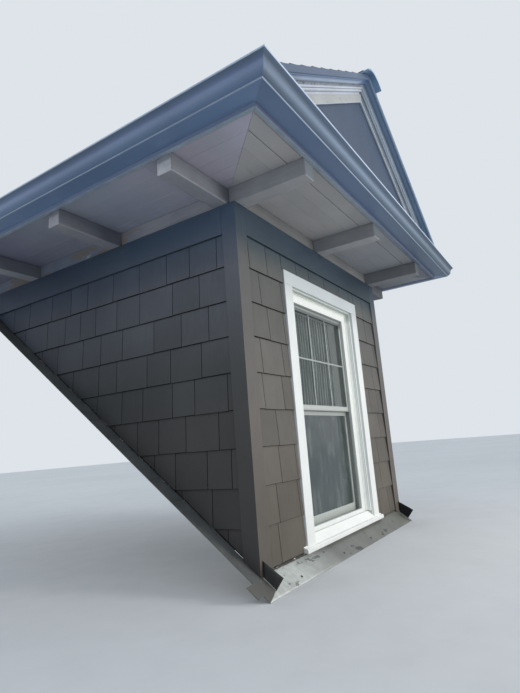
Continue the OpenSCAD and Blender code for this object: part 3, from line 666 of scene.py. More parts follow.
# %% [markdown]
# ## Wall shingles
# The cladding is cedar shingles nailed over each other: each course is thick at its lower edge and slides under the
# next one, so a thin shadow runs under every course. The joints between shingles are random, because shingles are
# sold in random widths. The solids hold the courses as one stepped sheet; here every shingle is its own wedge over a
# thin dark underlay that shows in the joints.

# %% Sizes of the walls
WALL_X, WALL_Y, CLADDING_Y = 0.956, -0.031, 0.039
CORNER_X = 0.975 - 0.093
CASING_X, CASING_TOP, CASING_GAP = 0.526, 1.493, 0.005
FRIEZE_Z, BELOW = 1.58, -0.2
EXPOSURE, FIRST_COURSE, WANDER = 0.178, -0.015, 0.0012
SLOPE, COS_SEAT, SIN_SEAT = 0.75, 0.8, 0.6
SHINGLE_LIFT, CHEEK_LIFT = 0.003 / COS_SEAT, 0.016
SIDES = ((-1, "left"), (1, "right"))
shingle = slat("shingle", [(0, 0), (0, 0.011), (0.008, 0.013), (1, 0.004), (1, 0)])


def above_roof(mesh, lift=SHINGLE_LIFT):
    """Cuts a mesh along the slope of the main roof."""
    return trim(mesh, ((0, 0, lift), (0, SIN_SEAT, -COS_SEAT)))


def between_heights(mesh, low, high):
    return trim(mesh, ((0, 0, low), (0, 0, -1)), ((0, 0, high), (0, 0, 1)))


def shingled(name, mesh, coat, solid):
    """A piece of wall shingles; their sawn lower edges, which face down, get a dark painted shadow."""
    piece = new_piece(name, mesh, coat, "wall_shingles", solid)
    second_finish(piece, "butt_shadow", lambda face: face.normal.z < -0.7)
    print(name + ":", len(mesh.polygons), "faces")


# %% Front shingles
def front_panel(name, x0, x1, first, count, seed):
    origin = (x0, WALL_Y, FIRST_COURSE + first * EXPOSURE)
    return laid(name, shingle, origin, (1, 0, 0), (0, 0, 1), (0, -1, 0), x1 - x0, EXPOSURE, count, (0.15, 0.25),
                "front_shingle_paint", wander=WANDER, seed=seed)


left_strip = front_panel("left_strip", -CORNER_X, -CASING_X - CASING_GAP, 0, 9, 5)
right_strip = front_panel("right_strip", CASING_X + CASING_GAP, CORNER_X, 0, 9, 8)
over_window = front_panel("over_window", -CASING_X, CASING_X, 8, 1, 13)
strips = [above_roof(between_heights(m, BELOW, FRIEZE_Z)) for m in (left_strip, right_strip)]
strips.append(between_heights(over_window, CASING_TOP, FRIEZE_Z))
shingled("front_shingles", joined("front_shingles", *strips), "front_shingle_paint", "shingles_front")


# %% Cheek shingles
def cheek(name, side, seed):
    mesh = laid(name, shingle, (side * WALL_X, CLADDING_Y, FIRST_COURSE), (0, 1, 0), (0, 0, 1), (side, 0, 0),
                FRIEZE_Z / SLOPE - CLADDING_Y, EXPOSURE, 9, (0.14, 0.25), "cheek_shingle_painted_light", wander=WANDER,
                seed=seed)
    return above_roof(between_heights(mesh, BELOW, FRIEZE_Z), CHEEK_LIFT)


for (side, label), seed in zip(SIDES, (21, 34)):
    name = "cheek_shingles_" + label
    shingled(name, cheek(name, side, seed), "cheek_shingle_painted_light", "shingles_cheek_" + label)

# %% Felt behind the shingles
layers = []
for side in (-1, 1):
    near, far = sorted((side * (CASING_X + 0.0005), side * (CORNER_X - 0.0005)))
    layers.append(((near, WALL_Y - 0.0009, BELOW), (far, WALL_Y - 0.0001, FRIEZE_Z - 0.001)))
    near, far = sorted((side * (WALL_X + 0.0001), side * (WALL_X + 0.0009)))
    layers.append(((near, CLADDING_Y + 0.001, BELOW), (far, FRIEZE_Z / SLOPE, FRIEZE_Z - 0.001)))
new_piece("felt_underlay", above_roof(boxes("felt_underlay", layers)), "felt", "wall_shingles")
print("felt layers:", len(layers))

# %% [markdown]
# ## Flat trim
# Corner boards close the ends of the courses, and a frieze board runs under the eaves. They are smooth and painted
# with the same paint, so only their eased edges and the shadow line beside them set them apart.

# %% Corner and frieze boards
for solid, coat in (("corner_board_left", "front_board_paint"), ("corner_board_right", "front_board_paint"),
                    ("frieze_boards", "front_frieze_paint")):
    boards = eased(solid, coat, "dark_trim", 0.002)
    # Faces turned to the cheeks take the cheek's copy of the paint: painted light.
    second_finish(boards, "cheek_board_painted_light", lambda face: abs(face.normal.x) > 0.7)
    print(boards.name, "in", coat)

# %% [markdown]
# ## The window
# A white double-hung window: flat casings, a ribbed reveal, a bright frame, two sashes in separate planes and a sill
# with a rounded nose. The solids already have these shapes at full depth, so they are copied with eased edges. The
# glazing bars are too fine for the solids and are made here: flat bars that lie against the upper pane.

# %% Casings, frame and sashes
for solid in ("casing_left", "casing_right", "casing_head"):
    eased(solid, "white_paint", "white_trim", 0.0025, 3)
second_finish(eased("window_sill", "white_paint", "white_trim", 0.0025, 3), "sill_top_painted_light",
              lambda face: face.normal.z > 0.6)
for solid, coat in (("reveal_trim", "reveal_white_painted_light"), ("window_frame", "frame_white"), ("upper_sash", "sash_painted_shade"),
                    ("lower_sash", "sash_painted_shade"), ("curtain_rod", "white_plastic")):
    eased(solid, coat, "white_window", 0.0008)

# %% Glazing bars
PANE_X, BAR_XS, BAR_Z, BAR_W = 0.337, (-0.126, 0.106), 1.02, 0.0085
BAR_FRONT, BAR_BACK, BAR_FOOT, BAR_TOP = 0.0215, 0.026, 0.74, 1.311
uprights = [(x - BAR_W / 2, x + BAR_W / 2) for x in BAR_XS]
edges = [-PANE_X, *(x for pair in uprights for x in pair), PANE_X]
bars = [((x0, BAR_FRONT, BAR_FOOT), (x1, BAR_BACK, BAR_TOP)) for x0, x1 in uprights]
bars += [((x0, BAR_FRONT, BAR_Z - BAR_W / 2), (x1, BAR_BACK, BAR_Z + BAR_W / 2))
         for x0, x1 in zip(edges[::2], edges[1::2])]
new_piece("glazing_bars", boxes("glazing_bars", bars), "bar_painted_shade", "white_window")
print("glazing bars:", len(bars))


# %% [markdown]
# ### Glass
# The panes are real four-millimetre plates, so a plain Principled shader with transmission bends and reflects light
# by itself. The upper pane is clear. The lower one is filmed over with old smears that run down it, so part of its
# light comes from the film and not from the room.

# %% Glass
def pane_glass(name, tones, through, rough, stretch, ior):
    material, tree, shader, where = fresh(name)
    film = patches(tree, where, 6.0, 6.0, 0.65, stretch=stretch)
    tree.links.new(ramp(tree, film, tones), shader.inputs["Base Color"])
    tree.links.new(between(tree, film, 0.3, 0.7, *rough), shader.inputs["Roughness"])
    shader.inputs["Transmission Weight"].default_value = through
    shader.inputs["IOR"].default_value = ior


def pane(name, low, high, coat, *solids):
    plate = between_heights(as_mesh(merged_copy("window_glass"), name), low, high)
    return new_piece(name, plate, coat, "window_glass", *solids)


SILL_Z, MEETING_Z, HEAD_Z = 0.0, 0.71, 1.5
pane_glass("clear_glass", [(196, 206, 203), (214, 222, 219)], 0.98, (0.0, 0.05), EVEN, 1.25)
pane_glass("filmed_glass", [(64, 72, 73), (80, 88, 89), (106, 115, 114)], 0.35, (0.06, 0.2), (3.0, 1, 0.9), 1.45)
panes = [pane("upper_pane", MEETING_Z, HEAD_Z, "clear_glass", "window_glass"),
         pane("lower_pane", SILL_Z, MEETING_Z, "filmed_glass")]
print("panes:", len(panes))

# %% [markdown]
# ### The curtain
# A sheer curtain is gathered on a rod behind the glass. One sheet of cloth is drawn along a line that swings to and
# fro; the swing is deeper and less regular lower down, as gathered cloth falls. Its flat width is the length of that
# line.

# %% Curtain
CURTAIN_Y, CURTAIN_TOP, CURTAIN_FOOT, CURTAIN_X = 0.103, 1.334, 0.69, 0.336
FOLD_WIDTH, FOLD_DEPTH = 0.037, 0.0135
COLUMNS, ROWS = 420, 24


def fold(x, down):
    wander = 0.35 * sway(x * 6, down * 1.6, 1.0) + 0.25 * sway(x * 21, down * 3, 7.0)
    depth = 0.55 + 0.45 * sway(x * 11, down * 2.2, 4.0)
    return CURTAIN_Y + FOLD_DEPTH * depth * math.sin(math.tau * (x / FOLD_WIDTH + wander))


def cloth_column(x):
    falls = [j / ROWS for j in range(ROWS + 1)]
    return [(x, fold(x, down), CURTAIN_TOP + (CURTAIN_FOOT - CURTAIN_TOP) * down) for down in falls]


def sheer_cloth(name):
    material, tree, shader, where = fresh(name)
    threads = patches(tree, where, 900.0, 2.0, 0.5, (0, 0, 0), (1, 1, 0.2))
    broad = patches(tree, where, 12.0, 4.0, 0.6, (2, 0, 0), (1, 1, 0.15))
    # The cloth is paler on the fold ridges at the front and darker in the hollows behind: painted shade.
    painted_fold_shade = [(0.0915, 226, 230, 230), (0.095, 196, 200, 200), (0.1, 100, 106, 108), (0.114, 60, 66, 68)]
    white = ramp(tree, broad, [(206, 208, 206), (226, 227, 224), (238, 238, 235)])
    dress(tree, shader, cast(tree, white, "Y", painted_fold_shade), between(tree, threads, 0.3, 0.7, 0.78, 0.92), threads, 0.0002)
    shader.inputs["Sheen Weight"].default_value = 0.3


columns = [cloth_column(-CURTAIN_X + 2 * CURTAIN_X * i / COLUMNS) for i in range(COLUMNS + 1)]
cloth = woven("sheer_curtain", columns)
cloth.shade_smooth()
sheer_cloth("sheer_cloth")
curtain = new_piece("sheer_curtain", cloth, "sheer_cloth", "curtain", "curtain")

# %% [markdown]
# ## Under the eaves
# Narrow grooved boards run along the gutter on each side and meet in a mitre at the corner. Square beams cross over
# the walls and carry the eaves; their ends are worn pale. Old boards fill the space between the beams, with paint
# peeling off brown wood.

# %% Soffit boards
BOARD_WIDTH, BEAM_Y, EAVE_X, EAVE_Y = 0.087, -0.005, 1.378, -0.445
SOFFIT_TOP, SOFFIT_X, HALF_GAP = 1.842, 0.938, 0.0008
MITRE = EAVE_X + EAVE_Y
WIDE_JOINT = ((0.0, BOARD_WIDTH, 4), (0.3515, 0.0785, 1), (0.4315, 0.012, 1))
CLOSE_JOINTS = ((0.0, 0.0863, 5), (0.4318, 0.012, 1))
grooved = slat("grooved_board", [(0, 0), (0, 0.0178), (0.012, 0.019), (0.988, 0.019), (1, 0.0178), (1, 0)])


def soffit_run(name, coat, rows_of, start, along, up, length, pieces, seed, *planes):
    """Boards side by side and a narrow strip beside the fascia; each row is its lead, width and count."""
    rows = [laid(name, grooved, Vector((*start, SOFFIT_TOP)) + Vector(up) * lead, along, up, (0, 0, -1), length,
                 width, count, pieces, coat, gap=0.001, cover=-0.0003, seed=seed + 40 * k)
            for k, (lead, width, count) in enumerate(rows_of)]
    return trim(joined(name, *rows), *planes)


front_cuts = (((MITRE - HALF_GAP, 0, 0), (1, 1, 0)), ((-MITRE + HALF_GAP, 0, 0), (-1, 1, 0)),
              ((0, EAVE_Y, 0), (0, -1, 0)), ((0, BEAM_Y, 0), (0, 1, 0)))
front_soffit = soffit_run("soffit_boards_front", "front_soffit_painted_light", WIDE_JOINT, (-EAVE_X, BEAM_Y + 0.001),
                          (1, 0, 0), (0, -1, 0), 2 * EAVE_X, (1.6, 2.6), 3, *front_cuts)
new_piece("soffit_boards_front", front_soffit, "front_soffit_painted_light", "soffit_boards", "soffit_front")
runs = []
for side in (-1, 1):
    side_cuts = (((side * (MITRE + HALF_GAP), 0, 0), (-side, -1, 0)), ((side * EAVE_X, 0, 0), (side, 0, 0)),
                 ((side * SOFFIT_X, 0, 0), (-side, 0, 0)))
    run = soffit_run("soffit_side", "side_soffit_painted_light", CLOSE_JOINTS, (side * (SOFFIT_X - 0.001), EAVE_Y),
                     (0, 1, 0), (side, 0, 0), 3.0, (1.4, 2.8), 6 + side, *side_cuts)
    runs.append(above_roof(run, 0))
new_piece("soffit_boards_sides", joined("soffit_boards_sides", *runs), "side_soffit_painted_light", "soffit_boards",
          "soffit_sides")
print("soffit runs:", 1 + len(runs))

# %% Beams, lookouts and bed boards
beams = eased("cross_beams", "beam_paint", "eave_timber", 0.006, 3)
second_finish(beams, "beam_front_painted_shade", lambda face: face.normal.y < -0.9)
second_finish(beams, "worn_end", lambda face: face.normal.x < -0.9)
second_finish(beams, "end_grain", lambda face: face.normal.x > 0.9)
lookouts = eased("front_lookouts", "lookout_paint", "eave_timber", 0.004, 3)
second_finish(lookouts, "lookout_side_painted_shade", lambda face: abs(face.normal.x) > 0.9)
second_finish(lookouts, "end_grain", lambda face: face.normal.y < -0.9)
beds = eased("bed_boards", "bare_wood", "bare_bed_board")
second_finish(beds, "front_bed_wood", lambda face: face.normal.y < -0.9)
print("finishes on the beams:", len(beams.data.materials))

# %% Fascia
for solid, coat in (("fascia_front", "front_fascia_painted_shade"), ("fascia_sides", "side_fascia_painted_light")):
    board = second_finish(eased(solid, coat, "fascia_paint"), "fascia_edge", lambda face: face.normal.z < -0.9)
    print(board.name, "in", coat)

# %% [markdown]
# ## The gutter
# The gutter is folded sheet metal with a flat bottom, a small bead along its lower edge, an ogee face and a rolled
# lip. A section is carried along each side and cut on the diagonal at the corners, so the moulding turns the corner
# as one. Smooth shading with sharp creases lets the ogee show one long soft highlight. Its finish also carries
# painted bands of highlight and shade by height, and the bead and lip are painted pale as highlights.

# %% Gutter section
GUTTER_Z, GUTTER_TOP, GUTTER_FLAT, GUTTER_H = 1.835, 0.135, 0.093, 0.08
QUIRK, LIP, METAL = 0.004, 0.008, 0.003
FASCIA_X, FASCIA_Y = 1.4, -0.467
GUTTER_END = GUTTER_Z / SLOPE - 0.06


def ring(radius, steps):
    """Points round a circle."""
    turns = [math.tau * i / steps for i in range(steps)]
    return [(radius * math.cos(a), radius * math.sin(a)) for a in turns]


def bead(reach, height, radius):
    return [(reach + a, height + b) for a, b in ring(radius, 10)]


def ogee(shift, steps=24):
    shares = [i / steps for i in range(steps + 1)]
    return [(GUTTER_FLAT - shift + (GUTTER_TOP - GUTTER_FLAT) * (s + math.sin(math.tau * s) / 7),
             QUIRK + (GUTTER_H - QUIRK - LIP) * s) for s in shares]


outer = [(0, GUTTER_H), (0, 0), (GUTTER_FLAT - 0.004, 0)] + ogee(0.0) + [(GUTTER_TOP, GUTTER_H - METAL)]
inner = [(GUTTER_TOP - METAL, GUTTER_H - 0.004)] + ogee(METAL)[::-1]
inner += [(GUTTER_FLAT - METAL, METAL), (METAL, METAL), (METAL, GUTTER_H)]
end_section = [(0, GUTTER_H), (0, 0), (GUTTER_FLAT, 0)] + ogee(0.0) + [(GUTTER_TOP, GUTTER_H)]
print("gutter section has", len(outer + inner), "points")


# %% Gutter runs
def front_station(side):
    return lambda r, h: (side * (FASCIA_X + r), FASCIA_Y - r, GUTTER_Z + h)


def side_station(side, y):
    return lambda r, h: (side * (FASCIA_X + r), y, GUTTER_Z + h)


def gutter_run(label, stations, metal):
    trough = smooth(swept("gutter_run_" + label, outer + inner, stations))
    new_piece("gutter_run_" + label, trough, metal, "gutter_metal", "gutter_" + label)
    for part, coat, place in (("bead", "bead_painted_highlight", (GUTTER_FLAT - 0.0042, 0.0018, 0.0034)),
                              ("lip", "lip_painted_highlight", (GUTTER_TOP - 0.0012, GUTTER_H - 0.0035, 0.004))):
        name = "gutter_" + part + "_" + label
        new_piece(name, smooth(swept(name, bead(*place), stations), 60), coat, "gutter_metal")


gutter_run("front", [front_station(-1), front_station(1)], "front_gutter_painted_light")
for side, label in SIDES:
    gutter_run(label, [front_station(side), side_station(side, GUTTER_END)], "side_gutter_painted_light")
    ends = [side_station(side, y) for y in (GUTTER_END - METAL, GUTTER_END)]
    new_piece("gutter_end_" + label, swept("gutter_end", end_section, ends), "side_gutter_painted_light", "gutter_metal")

# %% [markdown]
# ## The pediment
# Above the front gutter stands a small gable: a smooth panel, a raked frieze with a bed moulding over it, and a crown
# moulding under the roof's edge. These mouldings are the finest carpentry of the dormer. Each is a section carried up
# the slope and cut plumb at the ridge, where left and right meet.

# %% Rake sections
RIDGE_Z, PITCH = 2.864, 0.625
COS_GABLE = 1 / math.hypot(1, PITCH)
SIN_GABLE = PITCH * COS_GABLE
FASCIA_TOP, RAKE_Y = 1.936, -0.526
BED_Y, CROWN_OUT, CROWN_IN = -0.473, RAKE_Y + 0.001, -0.487
STEP_Y, GROOVE_Y, FRIEZE_FACE, TYMPANUM_Y = -0.464, -0.45, -0.458, -0.44
DRIP_BACK, DRIP_FACE, DRIP_NOSE = RAKE_Y + 0.0015, RAKE_Y - 0.0035, RAKE_Y - 0.0045
CROWN_D, CROWN_LOW, BED_D, QUIRK_D, GROOVE_D, FRIEZE_D, FRIEZE_LOW = 0.041, 0.051, 0.062, 0.072, 0.086, 0.1, 0.15

quarter = [math.radians(90 * i / 8) for i in range(9)]
small_cove = [(-0.47 + 0.008 * (1 - math.cos(a)), QUIRK_D + 0.004 + 0.0095 * math.sin(a)) for a in quarter]
bed_section = [(TYMPANUM_Y, CROWN_D), (BED_Y, CROWN_D), (BED_Y, QUIRK_D - 0.001), (BED_Y + 0.001, QUIRK_D),
               (STEP_Y, QUIRK_D), (STEP_Y, QUIRK_D + 0.004), *small_cove, (-0.462, GROOVE_D), (GROOVE_Y, GROOVE_D),
               (GROOVE_Y, FRIEZE_D), (TYMPANUM_Y, FRIEZE_D)]
frieze_section = [(TYMPANUM_Y, FRIEZE_D), (FRIEZE_FACE + 0.0015, FRIEZE_D), (FRIEZE_FACE, FRIEZE_D + 0.0015),
                  (FRIEZE_FACE, FRIEZE_LOW - 0.002), (FRIEZE_FACE + 0.002, FRIEZE_LOW), (TYMPANUM_Y, FRIEZE_LOW)]
swing = [(CROWN_OUT + (CROWN_IN - CROWN_OUT) * s, CROWN_D + 0.003 + 0.007 * (s - math.sin(math.tau * s) / 9))
         for s in (i / 16 for i in range(17))]
crown_section = [(CROWN_IN, CROWN_D), (CROWN_OUT, CROWN_D), *swing]
cove_section = [(BED_Y, CROWN_D), (CROWN_IN, CROWN_D)]
cove_section += [(CROWN_IN + (BED_Y - CROWN_IN) * math.sin(a), CROWN_LOW + (BED_D - CROWN_LOW) * (1 - math.cos(a)))
                 for a in quarter]
drip_section = [(DRIP_BACK, 0.005), (DRIP_FACE, 0.005), (DRIP_NOSE, 0.0065), (DRIP_NOSE, 0.036), (DRIP_FACE, 0.038),
                (DRIP_BACK, 0.0405)]
print("points in the bed moulding's section:", len(bed_section))


# %% Rake mouldings
def rake_station(x):
    """Turns a depth and a drop square to the slope into a point on the gable's rake."""
    return lambda y, drop: (x, y, RIDGE_Z - PITCH * abs(x) - drop / COS_GABLE)


def rake_run(part, label, section, coat, *solids):
    side = -1 if label == "left" else 1
    mesh = swept(part, section, [rake_station(side * x) for x in (0.0, 0.5, 1.0, 1.42)])
    mesh = smooth(trim(mesh, ((0, 0, FASCIA_TOP), (0, 0, -1))))
    return new_piece(part + "_" + label, mesh, coat, "peeling_rake", *solids)


for label, frieze_coat, bed_coat, crown_coat, cove_coat, drip_coat in (
        ("left", "frieze_pale", "bed_pale", "crown_painted_highlight", "cove_pale", "drip_paint"),
        ("right", "frieze_blue", "bed_blue", "slate_paint", "bed_blue", "slate_paint")):
    board = rake_run("raked_frieze", label, frieze_section, frieze_coat, "rake_frieze_" + label)
    second_finish(board, "frieze_underside_painted_light", lambda face: face.normal.z < -0.5)
    rake_run("bed_moulding", label, bed_section, bed_coat)
    rake_run("crown", label, crown_section, crown_coat, "rake_crown_" + label)
    rake_run("rake_cove", label, cove_section, cove_coat)
    rake_run("drip_edge", label, drip_section, drip_coat)
    print(label, "rake done")
eased("tympanum", "gable_paint", "gable_panel")

# %% [markdown]
# ## Roofing
# The roof is laid from the same course tree as the walls, in thicker, rougher pieces. Their ends stand out unevenly
# at the rake, which gives the gable its ragged dark edge. Cap pieces bent over the ridge overlap each other, and the
# first one has its end folded down.

# %% Roof courses
ROOF_STEP, ROOFING = 0.143, 0.016
SLOPE_LEN = (FASCIA_X + 0.027) / COS_GABLE
ROOF_BACK = RIDGE_Z / SLOPE + 0.06
roof_tab = slat("roof_tab", [(0, 0), (0, 0.0145), (0.012, 0.016), (1, 0.009), (1, 0)])
for side, label in SIDES:
    down = Vector((side * COS_GABLE, 0, -SIN_GABLE))
    out = Vector((side * SIN_GABLE, 0, COS_GABLE))
    origin = Vector((0, RAKE_Y, RIDGE_Z)) + down * SLOPE_LEN - out * ROOFING
    mesh = laid("roofing_courses_" + label, roof_tab, origin, (0, 1, 0), -down, out, ROOF_BACK - RAKE_Y, ROOF_STEP,
                12, (0.14, 0.3), "granules", gap=0.005, wander=0.004, ragged=0.003, seed=41 + side)
    mesh = above_roof(trim(mesh, ((0, 0, 0), (-side, 0, 0))), 0)
    piece = new_piece("roofing_courses_" + label, mesh, "granules", "roofing", "roofing_" + label)
    print(piece.name, len(mesh.polygons), "faces")


# %% A tree for rows of one piece
def row_tree():
    tree, given = started("row_of_pieces", Piece="Object", Count="Int", Start="Vector", Step="Vector", Turn="Vector",
                          Sway="Vector", Stray="Vector", Seed="Int", Finish="Material")

    def vector(operation, first, second):
        return add(tree, "ShaderNodeVectorMath", {0: first, 1: second}, operation=operation).outputs[0]

    def vary(middle, reach, shift):
        seed = arithmetic(tree, "ADD", given["Seed"], shift)
        drawn = add(tree, "FunctionNodeRandomValue", {0: (-1, -1, -1), 1: (1, 1, 1), "Seed": seed},
                    data_type="FLOAT_VECTOR")
        return vector("ADD", middle, vector("MULTIPLY", drawn.outputs[0], reach))

    line = add(tree, "GeometryNodeMeshLine", {"Count": given["Count"], "Start Location": given["Start"],
                                              "Offset": given["Step"]})
    moved = add(tree, "GeometryNodeSetPosition", {"Geometry": line.outputs[0],
                                                  "Offset": vary((0.0, 0.0, 0.0), given["Stray"], 1)})
    body = add(tree, "GeometryNodeObjectInfo", {"Object": given["Piece"]}, transform_space="ORIGINAL")
    laid_out = add(tree, "GeometryNodeInstanceOnPoints", {
        "Points": moved.outputs[0], "Instance": body.outputs["Geometry"],
        "Rotation": vary(given["Turn"], given["Sway"], 2)})
    tone = add(tree, "FunctionNodeRandomValue", data_type="FLOAT").outputs[1]
    return ended(tree, laid_out.outputs[0], tone, given["Finish"])


# %% Ridge cap
CAP_COUNT, CAP_Y, CAP_LEG = 31, RAKE_Y - 0.038, 0.141
END_LONG, END_DROOP, END_HALF = 0.066, 0.026, 0.07


def bent_cap(name, length, thick, soft):
    """A cap piece bent over the ridge with a soft bend, one end at Y = 0."""
    xs = [CAP_LEG * COS_GABLE * i / 8 for i in range(9)]
    half = [(x, -PITCH * (math.hypot(x, soft) - soft)) for x in xs]
    top = [(-x, z) for x, z in half[:0:-1]] + half
    under = [(x, z - thick) for x, z in top[::-1]]
    return smooth(swept(name, top + under, [(lambda x, z, y=y: (x, y, z)) for y in (0.0, length / 2, length)]))


cap = bpy.data.objects.new("cap_unit", bent_cap("cap_unit", ROOF_STEP + 0.02, 0.007, 0.022))
cap_mesh = grown("ridge_caps", row_tree(), {
    "Piece": cap, "Count": CAP_COUNT, "Start": (0, CAP_Y + 0.04, RIDGE_Z + 0.0085), "Step": (0, ROOF_STEP, 0),
    "Turn": (math.radians(-1.3), 0, 0), "Sway": (0.004, 0.008, 0.006), "Stray": (0.002, 0.004, 0.0005), "Seed": 12,
    "Finish": FINISHES["granules"]})
cap_end = bent_cap("cap_end", END_LONG, 0.012, 0.008)
for vertex in cap_end.vertices:
    nearness = 1 - vertex.co.y / END_LONG
    vertex.co.z -= END_DROOP * nearness * max(0.0, 1 - abs(vertex.co.x) / END_HALF)
cap_end.transform(Matrix.Translation((0, CAP_Y - 0.002, RIDGE_Z + 0.009)))
new_piece("ridge_caps", above_roof(cap_mesh, 0), "granules", "roofing", "ridge_cap")
new_piece("ridge_cap_end", cap_end, "cap_paint", "roofing")
print("ridge caps:", CAP_COUNT)

# %% [markdown]
# ## Metal at the foot
# Where the dormer meets the main roof, sheet metal keeps the water out: an apron in front, dark folded corners, and
# lapped steps along each cheek. The apron is thin sheet, so it is drawn as a fine grid with creases pressed into it
# and given its thickness by a Solidify modifier.

# %% Apron
APRON_RUN, FLAP_RUN, PLATE_RUN, WALL_RUN = -0.172, -0.135, -0.066, WALL_Y / COS_SEAT
APRON_TIP, APRON_END = 1.052, 0.946
DOWN_ROWS, UP_ROWS, UP_STEP, APRON_COLUMNS = 12, 2, 0.009, 280
SHEET_LIFT, CREASE_HALF = 0.0012, 0.02
CREASES = ((-0.93, 0.5, 1.0), (-0.78, -0.2, 0.7), (-0.6, 0.15, 0.9), (-0.33, -0.3, 0.6), (-0.1, 0.1, 0.8),
           (0.18, 0.25, 0.7), (0.44, -0.15, 0.9), (0.7, 0.2, 0.7), (0.9, -0.4, 1.0))


def on_seat(x, run, lift):
    """A point on the main roof's slope: run is the distance up the slope."""
    return (x, run * COS_SEAT - lift * SIN_SEAT, run * SIN_SEAT + lift * COS_SEAT)


def crease(x, run):
    """The height of the creases, each given by its place, its lean and its depth, and of the sheet's own waves."""
    pressed = sum(depth * max(0.0, 1 - abs(x - at - lean * (run + 0.1)) / CREASE_HALF) for at, lean, depth in CREASES)
    return 0.0006 * pressed + 0.0007 * (sway(x * 9, run * 14, 2.0) + 0.6)


def apron_row(j):
    """A row across the apron; the last rows turn up behind the shingles."""
    run = APRON_RUN + (WALL_RUN - APRON_RUN) * min(j, DOWN_ROWS) / DOWN_ROWS
    share = min(1.0, (run - APRON_RUN) / (FLAP_RUN - APRON_RUN))
    left_end = -APRON_TIP + (APRON_TIP - WALL_X) * share
    xs = [left_end + (APRON_END - left_end) * i / APRON_COLUMNS for i in range(APRON_COLUMNS + 1)]
    if j > DOWN_ROWS:
        return [(x, WALL_Y - SHEET_LIFT, WALL_RUN * SIN_SEAT + UP_STEP * (j - DOWN_ROWS)) for x in xs]
    wobble = 0.002 if j == 0 else 0.0
    return [on_seat(x, run + wobble * sway(x * 6, 9.0, 0.0), SHEET_LIFT + crease(x, run)) for x in xs]


apron_sheet = woven("apron", [apron_row(j) for j in range(DOWN_ROWS + 1 + UP_ROWS)])
thickened(new_piece("apron", smooth(apron_sheet, 25), "apron_metal", "apron_metal", "apron_flashing"), 0.001, -1.0)
print("apron:", len(apron_sheet.polygons), "faces")

# %% Apron nails
heads = []
for x in (-0.728, -0.238, 0.172):
    head = bmesh.new()
    bmesh.ops.create_cone(head, cap_ends=True, segments=10, radius1=0.006, radius2=0.0045, depth=0.0016)
    heads.append(as_mesh(head, "nail_head"))
    tilt = Matrix.Rotation(math.atan(SLOPE), 4, "X")
    heads[-1].transform(Matrix.Translation(on_seat(x, -0.1375, 0.0038)) @ tilt)
new_piece("apron_nails", joined("apron_nails", *heads), "dark_metal", "dark_flashing")
print("nails:", len(heads))


# %% Sealant under the shingles
def sealant_station(x):
    swell = 1.0 + 0.5 * sway(x * 30, 0.0, 1.0)
    return lambda a, b: (x, -0.0425 + a * swell, -0.0225 + b * swell)


bead_line = swept("sealant_bead", ring(0.006, 8), [sealant_station(-0.88 + 0.35 * i / 60) for i in range(61)])
new_piece("sealant_bead", smooth(bead_line, 60), "sealant", "dark_flashing")
print("sealant:", len(bead_line.polygons), "faces")

# %% Folded corners
FLAP_TOP = (Vector((-0.05, 0.034)), Vector((-0.154, -0.028)))
FLAP_FOOT = (Vector((-0.05, -0.05)), Vector((-0.108, -0.088)))


def flap_row(side, u):
    """Points from the top edge to the foot, a share u of the way out to the flap's tip."""
    row = []
    for v in (j / 6 for j in range(7)):
        y, z = FLAP_TOP[0].lerp(FLAP_TOP[1], u).lerp(FLAP_FOOT[0].lerp(FLAP_FOOT[1], u), v)
        bow = 0.004 * math.sin(u * 2.4) * (1 - 0.6 * v) + 0.003 * u * u
        row.append((side * (0.9535 + bow), y, z))
    return row


flaps = joined("corner_flaps", *(woven("flap", [flap_row(side, i / 8) for i in range(9)]) for side in (-1, 1)))
thickened(new_piece("corner_flaps", smooth(flaps, 30), "dark_metal", "dark_flashing", "corner_flashings"), 0.002, 0.0)
print("flaps:", len(flaps.polygons), "faces")


# %% Pale lips at the flaps' feet
def lip_station(side, run):
    return lambda a, b: on_seat(side * (0.9575 + a), run, 0.0034 + b)


lip_section = [(0.0, 0.0), (0.0045, 0.0), (0.0045, 0.0012), (0.0, 0.0016)]
lips = [swept("flap_lip", lip_section, [lip_station(side, run) for run in (-0.062, -0.136)]) for side in (-1, 1)]
new_piece("flap_lips", joined("flap_lips", *lips), "lip_finish", "dark_flashing")
print("lips:", len(lips))

# %% Step flashings
STEPS, STEP_REACH, STEPS_TOP = 16, 0.089, 2.89
step_plate = slat("step_plate", [(0, 0), (0, 0.003), (1, 0.0016), (1, 0)])
steps = [laid("steps", step_plate, on_seat(side * WALL_X, PLATE_RUN, 0.0), (side, 0, 0), (0, COS_SEAT, SIN_SEAT),
              (0, -SIN_SEAT, COS_SEAT), STEP_REACH, (STEPS_TOP - PLATE_RUN) / STEPS, STEPS, (0.2, 0.3),
              "strip_metal", gap=0.0, seed=2) for side in (-1, 1)]
new_piece("lapped_steps", joined("lapped_steps", *steps), "strip_metal", "dark_flashing", "step_flashings")

outline = [(-WALL_X, PLATE_RUN), (-1.094, PLATE_RUN), (-1.094, FLAP_RUN), (-APRON_TIP, FLAP_RUN),
           (-APRON_TIP, APRON_RUN), (-WALL_X, FLAP_RUN)]
plate_sides = [(lambda x, run, lift=lift: on_seat(x, run, lift)) for lift in (0.003, 0.0)]
new_piece("end_plate", swept("end_plate", outline, plate_sides), "plate_metal", "dark_flashing")
print("steps:", 2 * STEPS)

# %% [markdown]
# ## What nobody looks at
# The timber inside keeps the solids' shapes. It still gets real finishes, because a part is seen from every side:
# sawn grain along each timber, and plaster on the room's faces with the sawn edge showing where the wall was cut.


